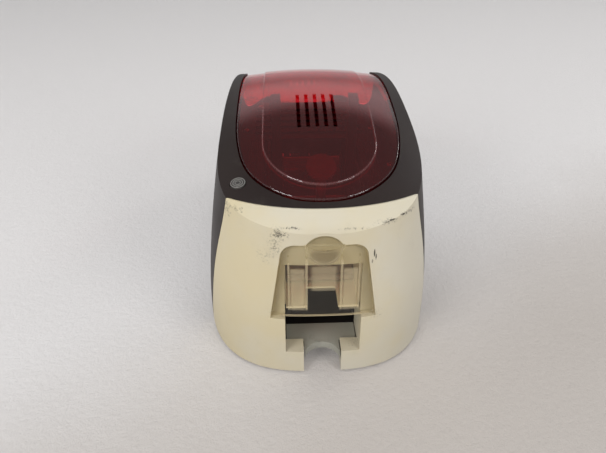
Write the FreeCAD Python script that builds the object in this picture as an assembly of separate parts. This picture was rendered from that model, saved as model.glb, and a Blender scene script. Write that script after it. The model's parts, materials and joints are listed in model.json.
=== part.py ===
"""Desktop ID card printer with a hinged see-through cover and a tilting card feeder lid.

Units are millimetres. +Z is up, the front faces -Y and the origin lies under the middle of the
body on the surface that the printer stands on. A depth is a distance behind the foremost point
of the body, and at() turns it into a Y coordinate. Widths are measured from the middle plane.
"""
import FreeCAD, Part
import math
import os
from FreeCAD import Vector

os.makedirs("parts", exist_ok=True)

# The body as a whole
BODY_LENGTH = 380.0
BODY_HALF_WIDTH = 100.0
FOOT_HEIGHT = 2.5
SHELL_WALL = 2.6
FASCIA_WALL = 3.0
PART_GAP = 0.4
SEAT_GAP = 0.3
CUT_OVERRUN = 30.0

# How the side walls lean inwards and the front leans back
LEAN_START = 10.0
LEAN_RISE = 158.0
LEAN_INWARD = 20.0
LEAN_POWER = 1.5
FRONT_LEAN_SHARE = 0.081
NOSE_DEPTH = 120.0
NOSE_LEAN_SHARE = 0.12
NOSE_POWER = 3.0
NOSE_FOOT_POWER = 2.75
NOSE_FOOT_RISE = 70.0
TAIL_POWER = 2.2
WALL_LEVELS = (FOOT_HEIGHT, 30.0, 70.0, 110.0, 150.0, 205.0)
OPEN_BASE = -6.0
QUARTER_POINTS = 7

# Side profile of the top: depth and height of each station, front to back
TOP_PROFILE = (
    (-12.0, 106.5), (11.0, 134.6), (22.0, 147.4), (30.0, 152.6), (58.0, 166.4),
    (91.0, 177.6), (145.0, 186.6), (175.0, 187.8), (225.0, 180.2), (275.0, 163.4),
    (320.0, 136.6), (352.0, 104.5), (371.0, 64.0), (382.0, 15.0), (386.0, -14.0),
)
CROWN_START = 60.0
CROWN_END = 235.0
FRONT_CROWN = 235.0
SHELL_CROWN = 1400.0
COVER_CROWN = 470.0
TOP_ROW_WIDTHS = (-118.0, -78.0, -39.0, 0.0, 39.0, 78.0, 118.0)
TOP_DROP = 260.0

# Front fascia
FASCIA_TOP = 147.4
FASCIA_SIDE_LINE = (
    (40.5, 147.4), (41.5, 130.0), (45.5, 105.0), (50.0, 80.0), (54.5, 52.0), (61.0, 25.0),
    (69.0, 2.0), (76.0, -12.0),
)
OPENING_HALF_WIDTH = 30.0
OPENING_TOP = 101.8
LEDGE_TOP = 23.0
LEDGE_DEPTH = 17.0
LEDGE_SKIN = 2.5
NOTCH_HALF_WIDTH = 15.3
MOUTH_WALL = 2.5
MOUTH_WALL_END = 40.0
MOUTH_WALL_TOP = 58.4

# Feeder lid and the pocket that it closes
POCKET_BOTTOM = 56.5
POCKET_DEPTH = 7.5
POCKET_WALL = 2.5
LID_BOTTOM = 60.4
LID_TOP = 123.4
LID_HALF_BOTTOM = 40.4
LID_HALF_TOP = 30.6
LID_CORNER = 10.0
LID_GAP = 0.7
LID_PROUD = 0.6
LID_SKIN = 1.4
LID_CHEEK_DEPTH = 6.6
LID_CHEEK_WALL = 1.8
LID_RIBS = (13.2, 26.6)
LID_RIB_WALL = 1.6
LID_RIB_DEPTH = 3.6
LID_PIVOT_DEPTH = 10.2
LID_PIVOT_Z = 64.2
LID_HUB_RADIUS = 3.2
LID_PIN_RADIUS = 1.5
LID_PIN_REACH = 1.9
RUNNING_GAP = 0.06
GRIP_HALF_WIDTH = 14.6
GRIP_ARCH_CENTRE = 118.0
GRIP_ARCH_RISE = 13.2
GRIP_RIM = 125.0
GRIP_REACH = 9.0
GRIP_DROP = 18.5
GRIP_WALL = 1.9

# Top cover: plan outline as shares of its half width and of its front and rear lengths
COVER_FRONT = 27.7
COVER_FRONT_LENGTH = 98.7
COVER_HALF_WIDTH = 66.2
COVER_FRONT_SHARES = (
    (0.0, 0.0), (0.30, 0.024), (0.505, 0.083), (0.645, 0.150), (0.770, 0.236), (0.880, 0.362),
    (0.955, 0.545), (0.993, 0.760), (1.0, 1.0),
)
COVER_REAR_SHARES = ((0.985, 0.30), (0.95, 0.54), (0.88, 0.76), (0.78, 0.90), (0.60, 1.0))
COVER_REAR = 352.0
COVER_LOW = 90.0
COVER_HIGH = 215.0
COVER_GAP = 1.0
COVER_PROUD = 1.2
COVER_SKIN = 1.6
COVER_SKIRT_DEPTH = 7.0
COVER_SKIRT_WALL = 1.8
COVER_EDGE = 1.0
CAP_LINE = (
    (246.0, 215.0), (250.5, 180.0), (258.0, 157.0), (270.0, 138.0), (288.0, 123.5), (310.0, 115.0),
    (335.0, 112.2), (366.0, 112.0),
)
CAP_SKIN = 1.8
COVER_REAR_LIFT = 0.5
COVER_TAIL_HALF = 40.4
PANEL_HALF_WIDTH = 45.0
PANEL_FRONT = 37.4
PANEL_RAISE = 1.2
PANEL_EDGE = 1.1
SLOT_COUNT = 5
SLOT_MIDDLE = -1.0
SLOT_PITCH = 7.25
SLOT_WIDTH = 3.0
SLOT_START = 92.5
SLOT_END = 141.5

# Cover hinge at the back
HINGE_DEPTH = 346.0
HINGE_Z = 99.0
HINGE_ROD_RADIUS = 2.0
HINGE_KNUCKLE_RADIUS = 5.0
HINGE_RELIEF_RADIUS = 11.6
HINGE_RELIEF_HALF = 41.0
HINGE_ROD = (17.0, 38.5)
COVER_KNUCKLE = (18.0, 28.6)
BRACKET_KNUCKLE = (29.2, 37.0)
BRACKET_ARM = (92.5, 103.5)
BULKHEAD_DEPTH = 326.0
BULKHEAD_WALL = 3.0
BULKHEAD_HALF_WIDTH = 46.0
BULKHEAD_TOP = 107.5
BULKHEAD_ARCH = (33.0, 42.0)
TOWER = (32.0, 44.0)
TOWER_LENGTH = 5.0
TOWER_TOP = 116.0

# Control button on the left shoulder, its board and its switch
BUTTON_X = -63.0
BUTTON_DEPTH = 49.5
BUTTON_HALF_WIDTH = 6.1
BUTTON_HALF_LENGTH = 4.3
BUTTON_TURN = -18.0
BUTTON_GAP = 0.4
BUTTON_PROUD = 0.8
BUTTON_THICKNESS = 4.6
BUTTON_FLANGE = 1.3
BUTTON_FLANGE_THICKNESS = 1.2
BUTTON_BOARD = (-69.0, -50.0, 44.2, 65.0)
BUTTON_BOARD_Z = 142.0
BUTTON_BOARD_THICKNESS = 1.6
BUTTON_BOSSES = ((-66.0, 61.5), (-52.5, 46.5))
BUTTON_BOSS_RADIUS = 2.2
SWITCH_SIDE = 6.0
SWITCH_HEIGHT = 3.5
SWITCH_PLUNGER_RADIUS = 1.75
SWITCH_PLUNGER_TOP = 147.6

# Base pan, feet and base screws
PAN_THICKNESS = 2.5
PAN_RIM = 3.4
PAN_NOTCH_HALF = 18.2
PAN_NOTCH_DEPTH = 37.0
FOOT_RADIUS = 8.0
FOOT_PLACES = ((66.0, 62.0), (58.0, 292.0))
SCREW_PLACES = ((86.0, 95.0), (74.0, 262.0))
SCREW_HEAD_RADIUS = 3.0
SCREW_HEAD_HEIGHT = 1.7
SCREW_RADIUS = 1.5
SCREW_TOP = 14.0
BOSS_RADIUS = 4.0
BOSS_TOP = 16.0
BOSS_WEB = 2.0

# Output tray and output hopper
TRAY_TOP = 20.0
TRAY_THICKNESS = 7.0
TRAY_HALF = 29.2
TRAY_TONGUE_HALF = 14.5
TRAY_TONGUE_FRONT = 2.4
TRAY_FRONT = 17.4
TRAY_REAR = 37.9
TRAY_ARCH_DEPTH = 1.5
TRAY_SHELL = 2.0
TRAY_RIBS = (20.0, 24.0)
HOPPER_HALF = 29.6
HOPPER_FRONT = 38.3
HOPPER_WALL_FRONT = 46.0
HOPPER_REAR = 110.0
HOPPER_DROP = 4.0
HOPPER_WALL = 1.6
HOPPER_SIDE_TOP = 36.0
HOPPER_STOP_TOP = 30.0

# Chassis of bent sheet: a floor and two side plates
PLATE_INNER = 42.0
PLATE_WALL = 2.0
CHASSIS_FLOOR = 2.0
CHASSIS_TOP = 108.0
CHASSIS_OUTLINE = ((46.0, 5.0), (240.0, 5.0), (240.0, 86.0), (226.0, 108.0), (54.0, 108.0), (46.0, 96.0))
CHASSIS_WINDOW = ((206.0, 58.0), (230.0, 58.0), (230.0, 76.0), (206.0, 76.0))
CHASSIS_SCREWS = ((36.5, 53.0), (36.5, 233.0))
SMALL_SCREW_HEAD = 2.6
SMALL_SCREW_HEIGHT = 1.4
SMALL_SCREW_RADIUS = 1.2
SMALL_SCREW_REACH = 4.0

# Deck under the cover, with the opening of the ribbon bay and the guide of the latch catch
DECK_THICKNESS = 2.5
DECK_WALL_GAP = 3.6
DECK_FRONT = 27.0
DECK_REAR = 325.6
HATCH = (31.5, 33.0, 49.0)
BAY = (48.0, 98.0, 222.0)
LATCH_DEPTH = 57.0
LATCH_HOLE_RADIUS = 6.0
LATCH_DISC_RADIUS = 11.5
LATCH_DISC = 1.6
LATCH_POST_RADIUS = 4.0
LATCH_BOTTOM = 103.5
LATCH_NOTCH_DEPTH = 2.0
CATCH_HALF = 7.0
CATCH_LENGTH = 18.0
CATCH_THICKNESS = 2.4
CATCH_BITE = 1.6
CATCH_TAB = (3.0, 2.5, 5.5)
GUIDE_RAIL = (7.3, 9.3)
GUIDE_LIP_INNER = 5.5
GUIDE_LIP = 1.2

# Card path and rollers
PATH_Z = 50.0
AXIS_Z = 44.0
ROLLER_RADIUS = 6.0
ROLLER_HALF = 28.0
SHAFT_RADIUS = 3.0
SHAFT_RIGHT = 47.0
SHAFT_LEFT = -57.5
PLATEN_DEPTH = 150.0
FEED_DEPTH = 84.0
FEED_Z = 49.9
FEED_RADIUS = 6.5
FEED_HALF = 12.0
BUSH_RADIUS = 5.0
BUSH_FLANGE_RADIUS = 6.5
BUSH_FLANGE = 1.0
PINCH_RADIUS = 4.0
PINCH_HALF = 26.0
PIN_SHAFT_RADIUS = 2.0
PIN_SHAFT_END = 43.6
NIP_GAP = 0.35
CLEANER_DEPTH = 106.5
CLEANER_RADIUS = 4.5
GUIDE_PLATE = (101.0, 204.0)
GUIDE_PLATE_TOP = 49.4
GUIDE_PLATE_THICKNESS = 1.5
GUIDE_WINDOW_HALF = 28.8
GUIDE_WINDOW_REACH = 7.0

# Gears, all of one module
MODULE = 0.8
PRESSURE_ANGLE = 20.0
BACKLASH_SHARE = 0.1
ADDENDUM = 0.72
DEDENDUM = 0.96
FLANK_POINTS = 3
WHEEL_TEETH = 24
IDLER_TEETH = 12
GEAR_X = (-56.0, -50.0)
AXLE_RADIUS = 2.0
AXLE_SHOULDER = 3.2
AXLE_CLIP = 1.0
MOTOR_DROP = 14.0
MOTOR_RADIUS = 17.5
MOTOR_LENGTH = 22.0
MOTOR_BOSS_RADIUS = 5.0
MOTOR_BOSS_LENGTH = 1.6
MOTOR_SHAFT_RADIUS = 1.5

# Feeder bin and card pusher
BIN_INNER = 29.0
BIN_WALL = 1.7
BIN_LIP = 15.5
BIN_FRONT = 20.8
BIN_REAR = 99.0
BIN_FLOOR_FRONT_Z = 61.0
BIN_FLOOR_REAR_Z = 54.0
BIN_FLOOR = 2.0
BIN_TOP = 99.5
BIN_GATE = 1.2
BIN_NOTCH_HALF = 12.6
BIN_NOTCH_END = 41.5
BIN_WINDOW = (12.8, 7.2)
BIN_WINGS = ((56.0, 64.0), (88.0, 95.0))
BIN_WING_Z = (66.0, 70.0)
PUSHER_PIVOT_DEPTH = 90.0
PUSHER_PIVOT_Z = 92.5
PUSHER_TIP_DEPTH = 49.0
PUSHER_HALF = 28.0
PUSHER_PLATE = 2.0
PUSHER_PIN_RADIUS = 2.0
PUSHER_HUB_RADIUS = 4.0
PUSHER_LIFT = 1.4
PUSHER_TIP_RADIUS = 3.0

# Ribbon spools and film
SPOOL_INNER = 29.5
SPOOL_FLANGE = 1.5
SPOOL_CORE_RADIUS = 6.0
SPOOL_JOURNAL_RADIUS = 4.0
SPOOL_JOURNAL_END = 45.4
SUPPLY_DEPTH = 195.0
SUPPLY_Z = 88.0
SUPPLY_ROLL_RADIUS = 14.0
SUPPLY_FLANGE_RADIUS = 16.0
TAKEUP_DEPTH = 118.0
TAKEUP_Z = 91.0
TAKEUP_ROLL_RADIUS = 9.5
TAKEUP_FLANGE_RADIUS = 15.0
FILM_FIT = 0.05
FILM_THICKNESS = 0.3
FILM_HALF = 29.0
FILM_FRONT = 140.0
FILM_REAR = 168.0

# Print head, its carrier under the cover and the film guide bars
HEAD_HALF = 31.0
HEAD_OUTLINE = ((144.0, 56.5), (146.0, 51.1), (151.0, 51.1), (162.0, 58.0), (162.0, 66.0), (144.0, 66.0))
FIN_COUNT = 6
FIN_PITCH = 6.6
FIN_WALL = 1.3
FIN_SPAN = (153.0, 161.5)
FIN_TOP = 74.5
HEAD_PIVOT_DEPTH = 157.0
HEAD_PIVOT_Z = 72.0
HEAD_EAR = (26.0, 28.5)
HEAD_EAR_RADIUS = 4.0
HEAD_AXLE_RADIUS = 2.0
HEAD_AXLE = (22.4, 29.5)
CARRIER_LUG = (22.4, 25.4)
CARRIER_LUG_HALF = 4.0
CARRIER_HALF = 38.5
CARRIER_DEPTHS = (138.5, 168.5)
CARRIER_Z = (78.5, 84.0)
CARRIER_CHEEK = (33.0, 35.0)
CARRIER_CHEEK_BOTTOM = 51.4
CARRIER_ARM = (30.0, 38.5)
CARRIER_ARM_DEPTHS = (145.0, 157.0)
GUIDE_BAR_DEPTHS = (141.4, 166.6)
GUIDE_BAR_Z = 53.0
GUIDE_BAR_RADIUS = 1.5
SPRING_X = 14.0
SPRING_DEPTH = 148.5
SPRING_RADIUS = 2.8
SPRING_WIRE = 0.45
SPRING_TURNS = 5

# Main board, its connectors and the rear panel
BOARD_HALF = 27.0
BOARD_FRONT = 258.0
BOARD_REAR = 360.0
BOARD_Z = 13.0
BOARD_THICKNESS = 1.6
STANDOFF_RADIUS = 3.0
STANDOFF_INSET = 5.0
PANEL_HALF = 28.6
PANEL_Z = (9.4, 36.6)
PANEL_WINDOW_GAP = 0.4
PANEL_DEPTH = 362.0
PANEL_WALL = 2.0
JACK_X = 12.5
JACK_SIDE = 11.0
JACK_FRONT = 351.0
JACK_BORE = 3.2
JACK_PIN = 1.0
USB_X = -13.0
USB_WIDTH = 12.0
USB_HEIGHT = 10.8
USB_FRONT = 348.0
USB_WALL = 0.9
USB_TONGUE = (5.6, 3.4)
CONNECTOR_REAR = 365.0
CONNECTOR_GAP = 0.3
REAR_SLOT_COUNT = 7
REAR_SLOT_PITCH = 7.25
REAR_SLOT_WIDTH = 3.0
REAR_SLOT_Z = (50.0, 78.0)


def at(depth):
    """Y coordinate of a depth behind the foremost point of the body."""
    return depth - BODY_LENGTH / 2


def point(x, depth, z):
    """A point given by its width, depth and height."""
    return Vector(x, at(depth), z)


def block(x0, x1, depth0, depth1, z0, z1):
    """A box between two widths, two depths and two heights."""
    return Part.makeBox(x1 - x0, depth1 - depth0, z1 - z0, point(x0, depth0, z0))


def rod(radius, x0, x1, depth, z):
    """A cylinder along X between two widths."""
    return Part.makeCylinder(radius, x1 - x0, point(x0, depth, z), Vector(1, 0, 0))


def ring(outer, inner, x0, x1, depth, z):
    """A hollow cylinder along X between two widths."""
    return rod(outer, x0, x1, depth, z).cut(rod(inner, x0, x1, depth, z))


def post(radius, x, depth, z0, z1):
    """An upright cylinder between two heights."""
    return Part.makeCylinder(radius, z1 - z0, point(x, depth, z0), Vector(0, 0, 1))


def side_plate(outline, x0, x1):
    """A flat plate between two widths, whose side view is a list of (depth, height)."""
    corners = [point(x0, depth, z) for depth, z in outline]
    return Part.Face(Part.makePolygon(corners + corners[:1])).extrude(Vector(x1 - x0, 0, 0))


def mirrored(shape):
    """The same shape on the other side of the middle plane."""
    return shape.mirror(Vector(0, 0, 0), Vector(1, 0, 0))


def pair(shape):
    """A shape and its mirror image."""
    return [shape, mirrored(shape)]


def joined(shapes):
    """One solid from several that overlap or touch."""
    return shapes[0].fuse(list(shapes[1:])).removeSplitter()


def cut_all(shape, tools):
    """A shape less several others."""
    return shape.cut(list(tools))


def wall_half_width(z):
    """Half width of the body at a height, before the nose and the tail round it off."""
    rise = max(z - LEAN_START, 0) / LEAN_RISE
    return BODY_HALF_WIDTH - LEAN_INWARD * rise ** LEAN_POWER


def front_line(z):
    """Depth of the front of the body on the middle plane at a height."""
    return FRONT_LEAN_SHARE * (z - FOOT_HEIGHT)


def plan_outline(z, inset):
    """Closed egg-shaped outline of the body at a height, drawn in by an inset."""
    half = wall_half_width(z) - inset
    nose = NOSE_DEPTH - NOSE_LEAN_SHARE * z
    widest = front_line(z) + nose
    tail = BODY_LENGTH - widest
    foot = max(1 - z / NOSE_FOOT_RISE, 0)
    nose_power = NOSE_POWER + (NOSE_FOOT_POWER - NOSE_POWER) * foot
    ends = ((nose_power, inset - nose, range(1 - QUARTER_POINTS, QUARTER_POINTS)),
            (TAIL_POWER, tail - inset, range(QUARTER_POINTS - 2, 1 - QUARTER_POINTS, -1)))
    corners = []
    for power, reach, steps in ends:
        for step in steps:
            turn = math.pi / 2 * step / (QUARTER_POINTS - 1)
            across = math.copysign(abs(math.sin(turn)) ** (2 / power), turn)
            along = abs(math.cos(turn)) ** (2 / power)
            corners.append(point(half * across, widest + reach * along, z))
    curve = Part.BSplineCurve()
    curve.interpolate(corners, PeriodicFlag=True)
    return Part.Wire([curve.toShape()])


def walls(inset, open_base=False):
    """The body as if it had no top, drawn in by an inset. An open base runs on downwards."""
    levels = list(WALL_LEVELS)
    if open_base:
        levels = [OPEN_BASE] + levels
    return Part.makeLoft([plan_outline(z, inset) for z in levels], True, False)


def profile_stations(inset):
    """Stations of the top profile, each moved by the inset square to the profile."""
    moved = []
    last = len(TOP_PROFILE) - 1
    for index, (depth, z) in enumerate(TOP_PROFILE):
        before = TOP_PROFILE[max(index - 1, 0)]
        after = TOP_PROFILE[min(index + 1, last)]
        run = after[0] - before[0]
        rise = after[1] - before[1]
        length = math.hypot(run, rise)
        moved.append((depth + inset * rise / length, z - inset * run / length))
    return moved


def crown_curvature(depth, rear_radius):
    """Curvature of the crown across the body at a depth: it flattens out towards the back."""
    share = min(max((depth - CROWN_START) / (CROWN_END - CROWN_START), 0), 1)
    return (1 - share) / FRONT_CROWN + share / rear_radius


def below_top(inset, rear_radius=SHELL_CROWN):
    """Everything under the crowned top surface, drawn in by an inset."""
    rows = []
    for depth, z in profile_stations(inset):
        curvature = crown_curvature(depth, rear_radius)
        rows.append([point(x, depth, z - curvature * x * x / 2) for x in TOP_ROW_WIDTHS])
    surface = Part.BSplineSurface()
    surface.interpolate(rows)
    return surface.toShape().extrude(Vector(0, 0, -TOP_DROP))


def envelope(inset, open_base=False):
    """The whole body as a solid, drawn in by an inset."""
    return walls(inset, open_base).common(below_top(inset))


def top_layer(region, outer_inset, inner_inset, crown=COVER_CROWN):
    """The part of an upright region that lies between two insets of the top surface."""
    return region.common(below_top(outer_inset, crown)).cut(below_top(inner_inset, crown))


def cover_prism(grow):
    """Upright prism on the plan outline of the cover, grown all round."""
    half = COVER_HALF_WIDTH + grow
    front = COVER_FRONT - grow
    length = COVER_FRONT_LENGTH + grow
    rear = COVER_REAR + grow - front - length
    right = [point(half * x, front + length * y, COVER_LOW) for x, y in COVER_FRONT_SHARES]
    right += [point(half * x, front + length + rear * y, COVER_LOW) for x, y in COVER_REAR_SHARES]
    left = [Vector(-p.x, p.y, p.z) for p in reversed(right[1:])]
    curve = Part.BSplineCurve()
    curve.interpolate(left + right)
    outline = Part.Wire([curve.toShape(), Part.makeLine(right[-1], left[0])])
    return Part.Face(outline).extrude(Vector(0, 0, COVER_HIGH - COVER_LOW))


def panel_prism():
    """Upright prism on the raised tongue-shaped panel of the cover."""
    centre = PANEL_FRONT + PANEL_HALF_WIDTH
    tongue = post(PANEL_HALF_WIDTH, 0, centre, COVER_LOW, COVER_HIGH)
    return tongue.fuse(block(-PANEL_HALF_WIDTH, PANEL_HALF_WIDTH, centre, COVER_REAR + CUT_OVERRUN,
                             COVER_LOW, COVER_HIGH)).removeSplitter()


def cap_zone(grow):
    """The space of the cover's rear cap, which reaches over the sides behind the side rails."""
    width = BODY_HALF_WIDTH + CUT_OVERRUN
    line = [point(-width, depth - grow, z) for depth, z in CAP_LINE]
    line += [point(-width, BODY_LENGTH + CUT_OVERRUN, CAP_LINE[-1][1])]
    for corner in line:
        corner.z -= grow
    line[0].z += grow
    curve = Part.BSplineCurve()
    curve.interpolate(line)
    high = Vector(-width, line[-1].y, line[0].z)
    edges = [curve.toShape(), Part.makeLine(line[-1], high), Part.makeLine(high, line[0])]
    return Part.Face(Part.Wire(edges)).extrude(Vector(2 * width, 0, 0))


def fascia_zone(grow):
    """The space of the front fascia: below its top line and ahead of its side line."""
    width = BODY_HALF_WIDTH + CUT_OVERRUN
    line = [point(-width, depth + grow, z) for depth, z in FASCIA_SIDE_LINE]
    line[0].z += grow
    curve = Part.BSplineCurve()
    curve.interpolate(line)
    low = Vector(-width, at(-CUT_OVERRUN), line[-1].z)
    high = Vector(-width, at(-CUT_OVERRUN), line[0].z)
    edges = [curve.toShape(), Part.makeLine(line[-1], low), Part.makeLine(low, high),
             Part.makeLine(high, line[0])]
    return Part.Face(Part.Wire(edges)).extrude(Vector(2 * width, 0, 0))


def lid_half_width(z):
    """Half width of the feeder lid at a height."""
    taper = (LID_HALF_BOTTOM - LID_HALF_TOP) / (LID_TOP - LID_BOTTOM)
    return LID_HALF_BOTTOM - taper * (z - LID_BOTTOM)


def lid_prism(grow, bottom):
    """Front-view outline of the feeder lid, grown all round, as a prism through the front wall."""
    low = lid_half_width(bottom) + grow
    high = LID_HALF_TOP + grow
    top = LID_TOP + grow
    start = -CUT_OVERRUN
    corners = [point(-low, start, bottom), point(low, start, bottom), point(high, start, top),
               point(-high, start, top)]
    plate = Part.Face(Part.makePolygon(corners + corners[:1])).extrude(Vector(0, 2 * CUT_OVERRUN, 0))
    upper = [edge for edge in plate.Edges
             if edge.BoundBox.ZMin > GRIP_ARCH_CENTRE and edge.BoundBox.YLength > CUT_OVERRUN]
    plate = plate.makeFillet(LID_CORNER + grow, upper)
    centre = point(0, start, GRIP_ARCH_CENTRE)
    arch = Part.Ellipse(centre + Vector(GRIP_HALF_WIDTH + grow, 0, 0),
                        centre + Vector(0, 0, GRIP_ARCH_RISE + grow), centre)
    arch = Part.Face(Part.Wire([arch.toShape()])).extrude(Vector(0, 2 * CUT_OVERRUN, 0))
    return plate.fuse(arch).removeSplitter()


def button_prism(grow):
    """Upright oval prism of the control button, grown all round."""
    centre = point(BUTTON_X, BUTTON_DEPTH, BUTTON_BOARD_Z)
    turn = math.radians(BUTTON_TURN)
    along = Vector(math.cos(turn), math.sin(turn), 0)
    across = Vector(-math.sin(turn), math.cos(turn), 0)
    oval = Part.Ellipse(centre + along * (BUTTON_HALF_WIDTH + grow), centre + across * (BUTTON_HALF_LENGTH + grow),
                        centre)
    return Part.Face(Part.Wire([oval.toShape()])).extrude(Vector(0, 0, COVER_HIGH - BUTTON_BOARD_Z))


def spread(count, pitch):
    """Middle widths of things side by side about the middle plane."""
    return [pitch * (index - (count - 1) / 2) for index in range(count)]


def pan_head_screw(x, depth, seat, direction, head_radius, head_height, radius, reach):
    """A pan-head screw with its head on a seat and its shank running up (1) or down (-1)."""
    axis = Vector(0, 0, direction)
    foot = point(x, depth, seat)
    head = Part.makeCylinder(head_radius, head_height, foot - axis * head_height, axis)
    return head.fuse(Part.makeCylinder(radius, reach, foot, axis)).removeSplitter()


def gear(teeth, depth, z, phase, bore):
    """A spur gear with involute flanks. A tooth stands at the phase angle, turned from +Y to +Z."""
    pitch_radius = MODULE * teeth / 2
    base = pitch_radius * math.cos(math.radians(PRESSURE_ANGLE))
    tip = pitch_radius + ADDENDUM
    root = pitch_radius - DEDENDUM
    half_tooth = math.pi / (2 * teeth) * (1 - BACKLASH_SHARE)
    pressure = math.radians(PRESSURE_ANGLE)
    half_tooth += math.tan(pressure) - pressure
    flank = [(root, half_tooth)]
    start = max(base, root)
    for index in range(FLANK_POINTS):
        radius = start + (tip - start) * index / (FLANK_POINTS - 1)
        angle = math.acos(min(base / radius, 1))
        flank.append((radius, half_tooth - math.tan(angle) + angle))
    corners = []
    for tooth in range(teeth):
        middle = phase + 2 * math.pi * tooth / teeth
        turns = [(radius, middle - turn) for radius, turn in flank]
        turns += [(radius, middle + turn) for radius, turn in reversed(flank)]
        corners += [point(GEAR_X[0], depth + radius * math.cos(turn), z + radius * math.sin(turn))
                    for radius, turn in turns]
    wheel = Part.Face(Part.makePolygon(corners + corners[:1])).extrude(Vector(GEAR_X[1] - GEAR_X[0], 0, 0))
    return wheel.cut(rod(bore, GEAR_X[0], GEAR_X[1], depth, z))


def mesh_phase(driver, teeth, place):
    """Phase of a gear of some teeth at a place so that it meshes with a driver (teeth, place, phase)."""
    driver_teeth, (depth, z), phase = driver
    towards = math.atan2(place[1] - z, place[0] - depth)
    return towards + math.pi - driver_teeth / teeth * (phase - towards) + math.pi / teeth


def meet(first, second, reach):
    """The lower of the two places at one distance from two others."""
    run = second[0] - first[0]
    rise = second[1] - first[1]
    length = math.hypot(run, rise)
    height = math.sqrt(reach * reach - length * length / 4)
    side = math.copysign(height / length, run)
    return ((first[0] + second[0]) / 2 + rise * side, (first[1] + second[1]) / 2 - run * side)


WHEEL_STEP = MODULE * (WHEEL_TEETH + IDLER_TEETH) / 2
WHEEL_PAIR = MODULE * WHEEL_TEETH
PLATEN = (PLATEN_DEPTH, AXIS_Z)
ENTRY_IDLER = (PLATEN_DEPTH - WHEEL_STEP, AXIS_Z)
ENTRY = (PLATEN_DEPTH - 2 * WHEEL_STEP, AXIS_Z)
REAR_IDLER = (PLATEN_DEPTH + WHEEL_STEP, AXIS_Z)
REAR = (PLATEN_DEPTH + 2 * WHEEL_STEP, AXIS_Z)
FEED = (FEED_DEPTH, FEED_Z)
FEED_IDLER = meet(FEED, ENTRY, WHEEL_PAIR)
MOTOR_CHAIN = WHEEL_PAIR + WHEEL_STEP
MOTOR_RUN = math.sqrt(MOTOR_CHAIN ** 2 - MOTOR_DROP ** 2)
MOTOR = (REAR[0] + MOTOR_RUN, AXIS_Z - MOTOR_DROP)
MOTOR_IDLER = (REAR[0] + MOTOR_RUN * WHEEL_PAIR / MOTOR_CHAIN, AXIS_Z - MOTOR_DROP * WHEEL_PAIR / MOTOR_CHAIN)
ROLLER_AXES = (FEED, ENTRY, PLATEN, REAR)
PINCH_Z = AXIS_Z + ROLLER_RADIUS + NIP_GAP + PINCH_RADIUS
CLEANER_Z = PATH_Z + NIP_GAP + CLEANER_RADIUS
PIN_AXES = ((ENTRY[0], PINCH_Z), (REAR[0], PINCH_Z), (CLEANER_DEPTH, CLEANER_Z))
FLOOR_Z = FOOT_HEIGHT + PAN_THICKNESS
CHASSIS_FLOOR_Z = FLOOR_Z + CHASSIS_FLOOR
DECK_Z = CHASSIS_TOP + DECK_THICKNESS


def build_body_shell(outer):
    """The dark outer shell, with the cover opening, rear vents and its screw bosses."""
    shell = outer.cut(envelope(SHELL_WALL, True))
    back = BODY_LENGTH + CUT_OVERRUN
    tools = [fascia_zone(PART_GAP), cover_prism(COVER_GAP), button_prism(BUTTON_GAP), cap_zone(COVER_GAP)]
    tools.append(rod(HINGE_RELIEF_RADIUS, -HINGE_RELIEF_HALF, HINGE_RELIEF_HALF, HINGE_DEPTH, HINGE_Z))
    window = PANEL_HALF + PANEL_WINDOW_GAP
    tools.append(block(-window, window, PANEL_DEPTH, back, PANEL_Z[0] - PANEL_WINDOW_GAP,
                       PANEL_Z[1] + PANEL_WINDOW_GAP))
    for middle in spread(REAR_SLOT_COUNT, REAR_SLOT_PITCH):
        tools.append(block(middle - REAR_SLOT_WIDTH / 2, middle + REAR_SLOT_WIDTH / 2, BULKHEAD_DEPTH, back,
                           *REAR_SLOT_Z))
    for tool in tools:
        shell = shell.cut(tool)
    core = envelope(SHELL_WALL / 2)
    bosses = []
    for x, depth in SCREW_PLACES:
        boss = post(BOSS_RADIUS, x, depth, FLOOR_Z + SEAT_GAP, BOSS_TOP)
        web = block(x, BODY_HALF_WIDTH, depth - BOSS_WEB / 2, depth + BOSS_WEB / 2, FLOOR_Z + SEAT_GAP, BOSS_TOP)
        hole = post(SCREW_RADIUS + RUNNING_GAP, x, depth, FLOOR_Z, SCREW_TOP + SEAT_GAP)
        bosses += pair(boss.fuse(web.common(core)).cut(hole))
    for x, depth in BUTTON_BOSSES:
        bosses.append(post(BUTTON_BOSS_RADIUS, x, depth, BUTTON_BOARD_Z, COVER_HIGH).common(core))
    return shell.fuse(bosses)


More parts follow.
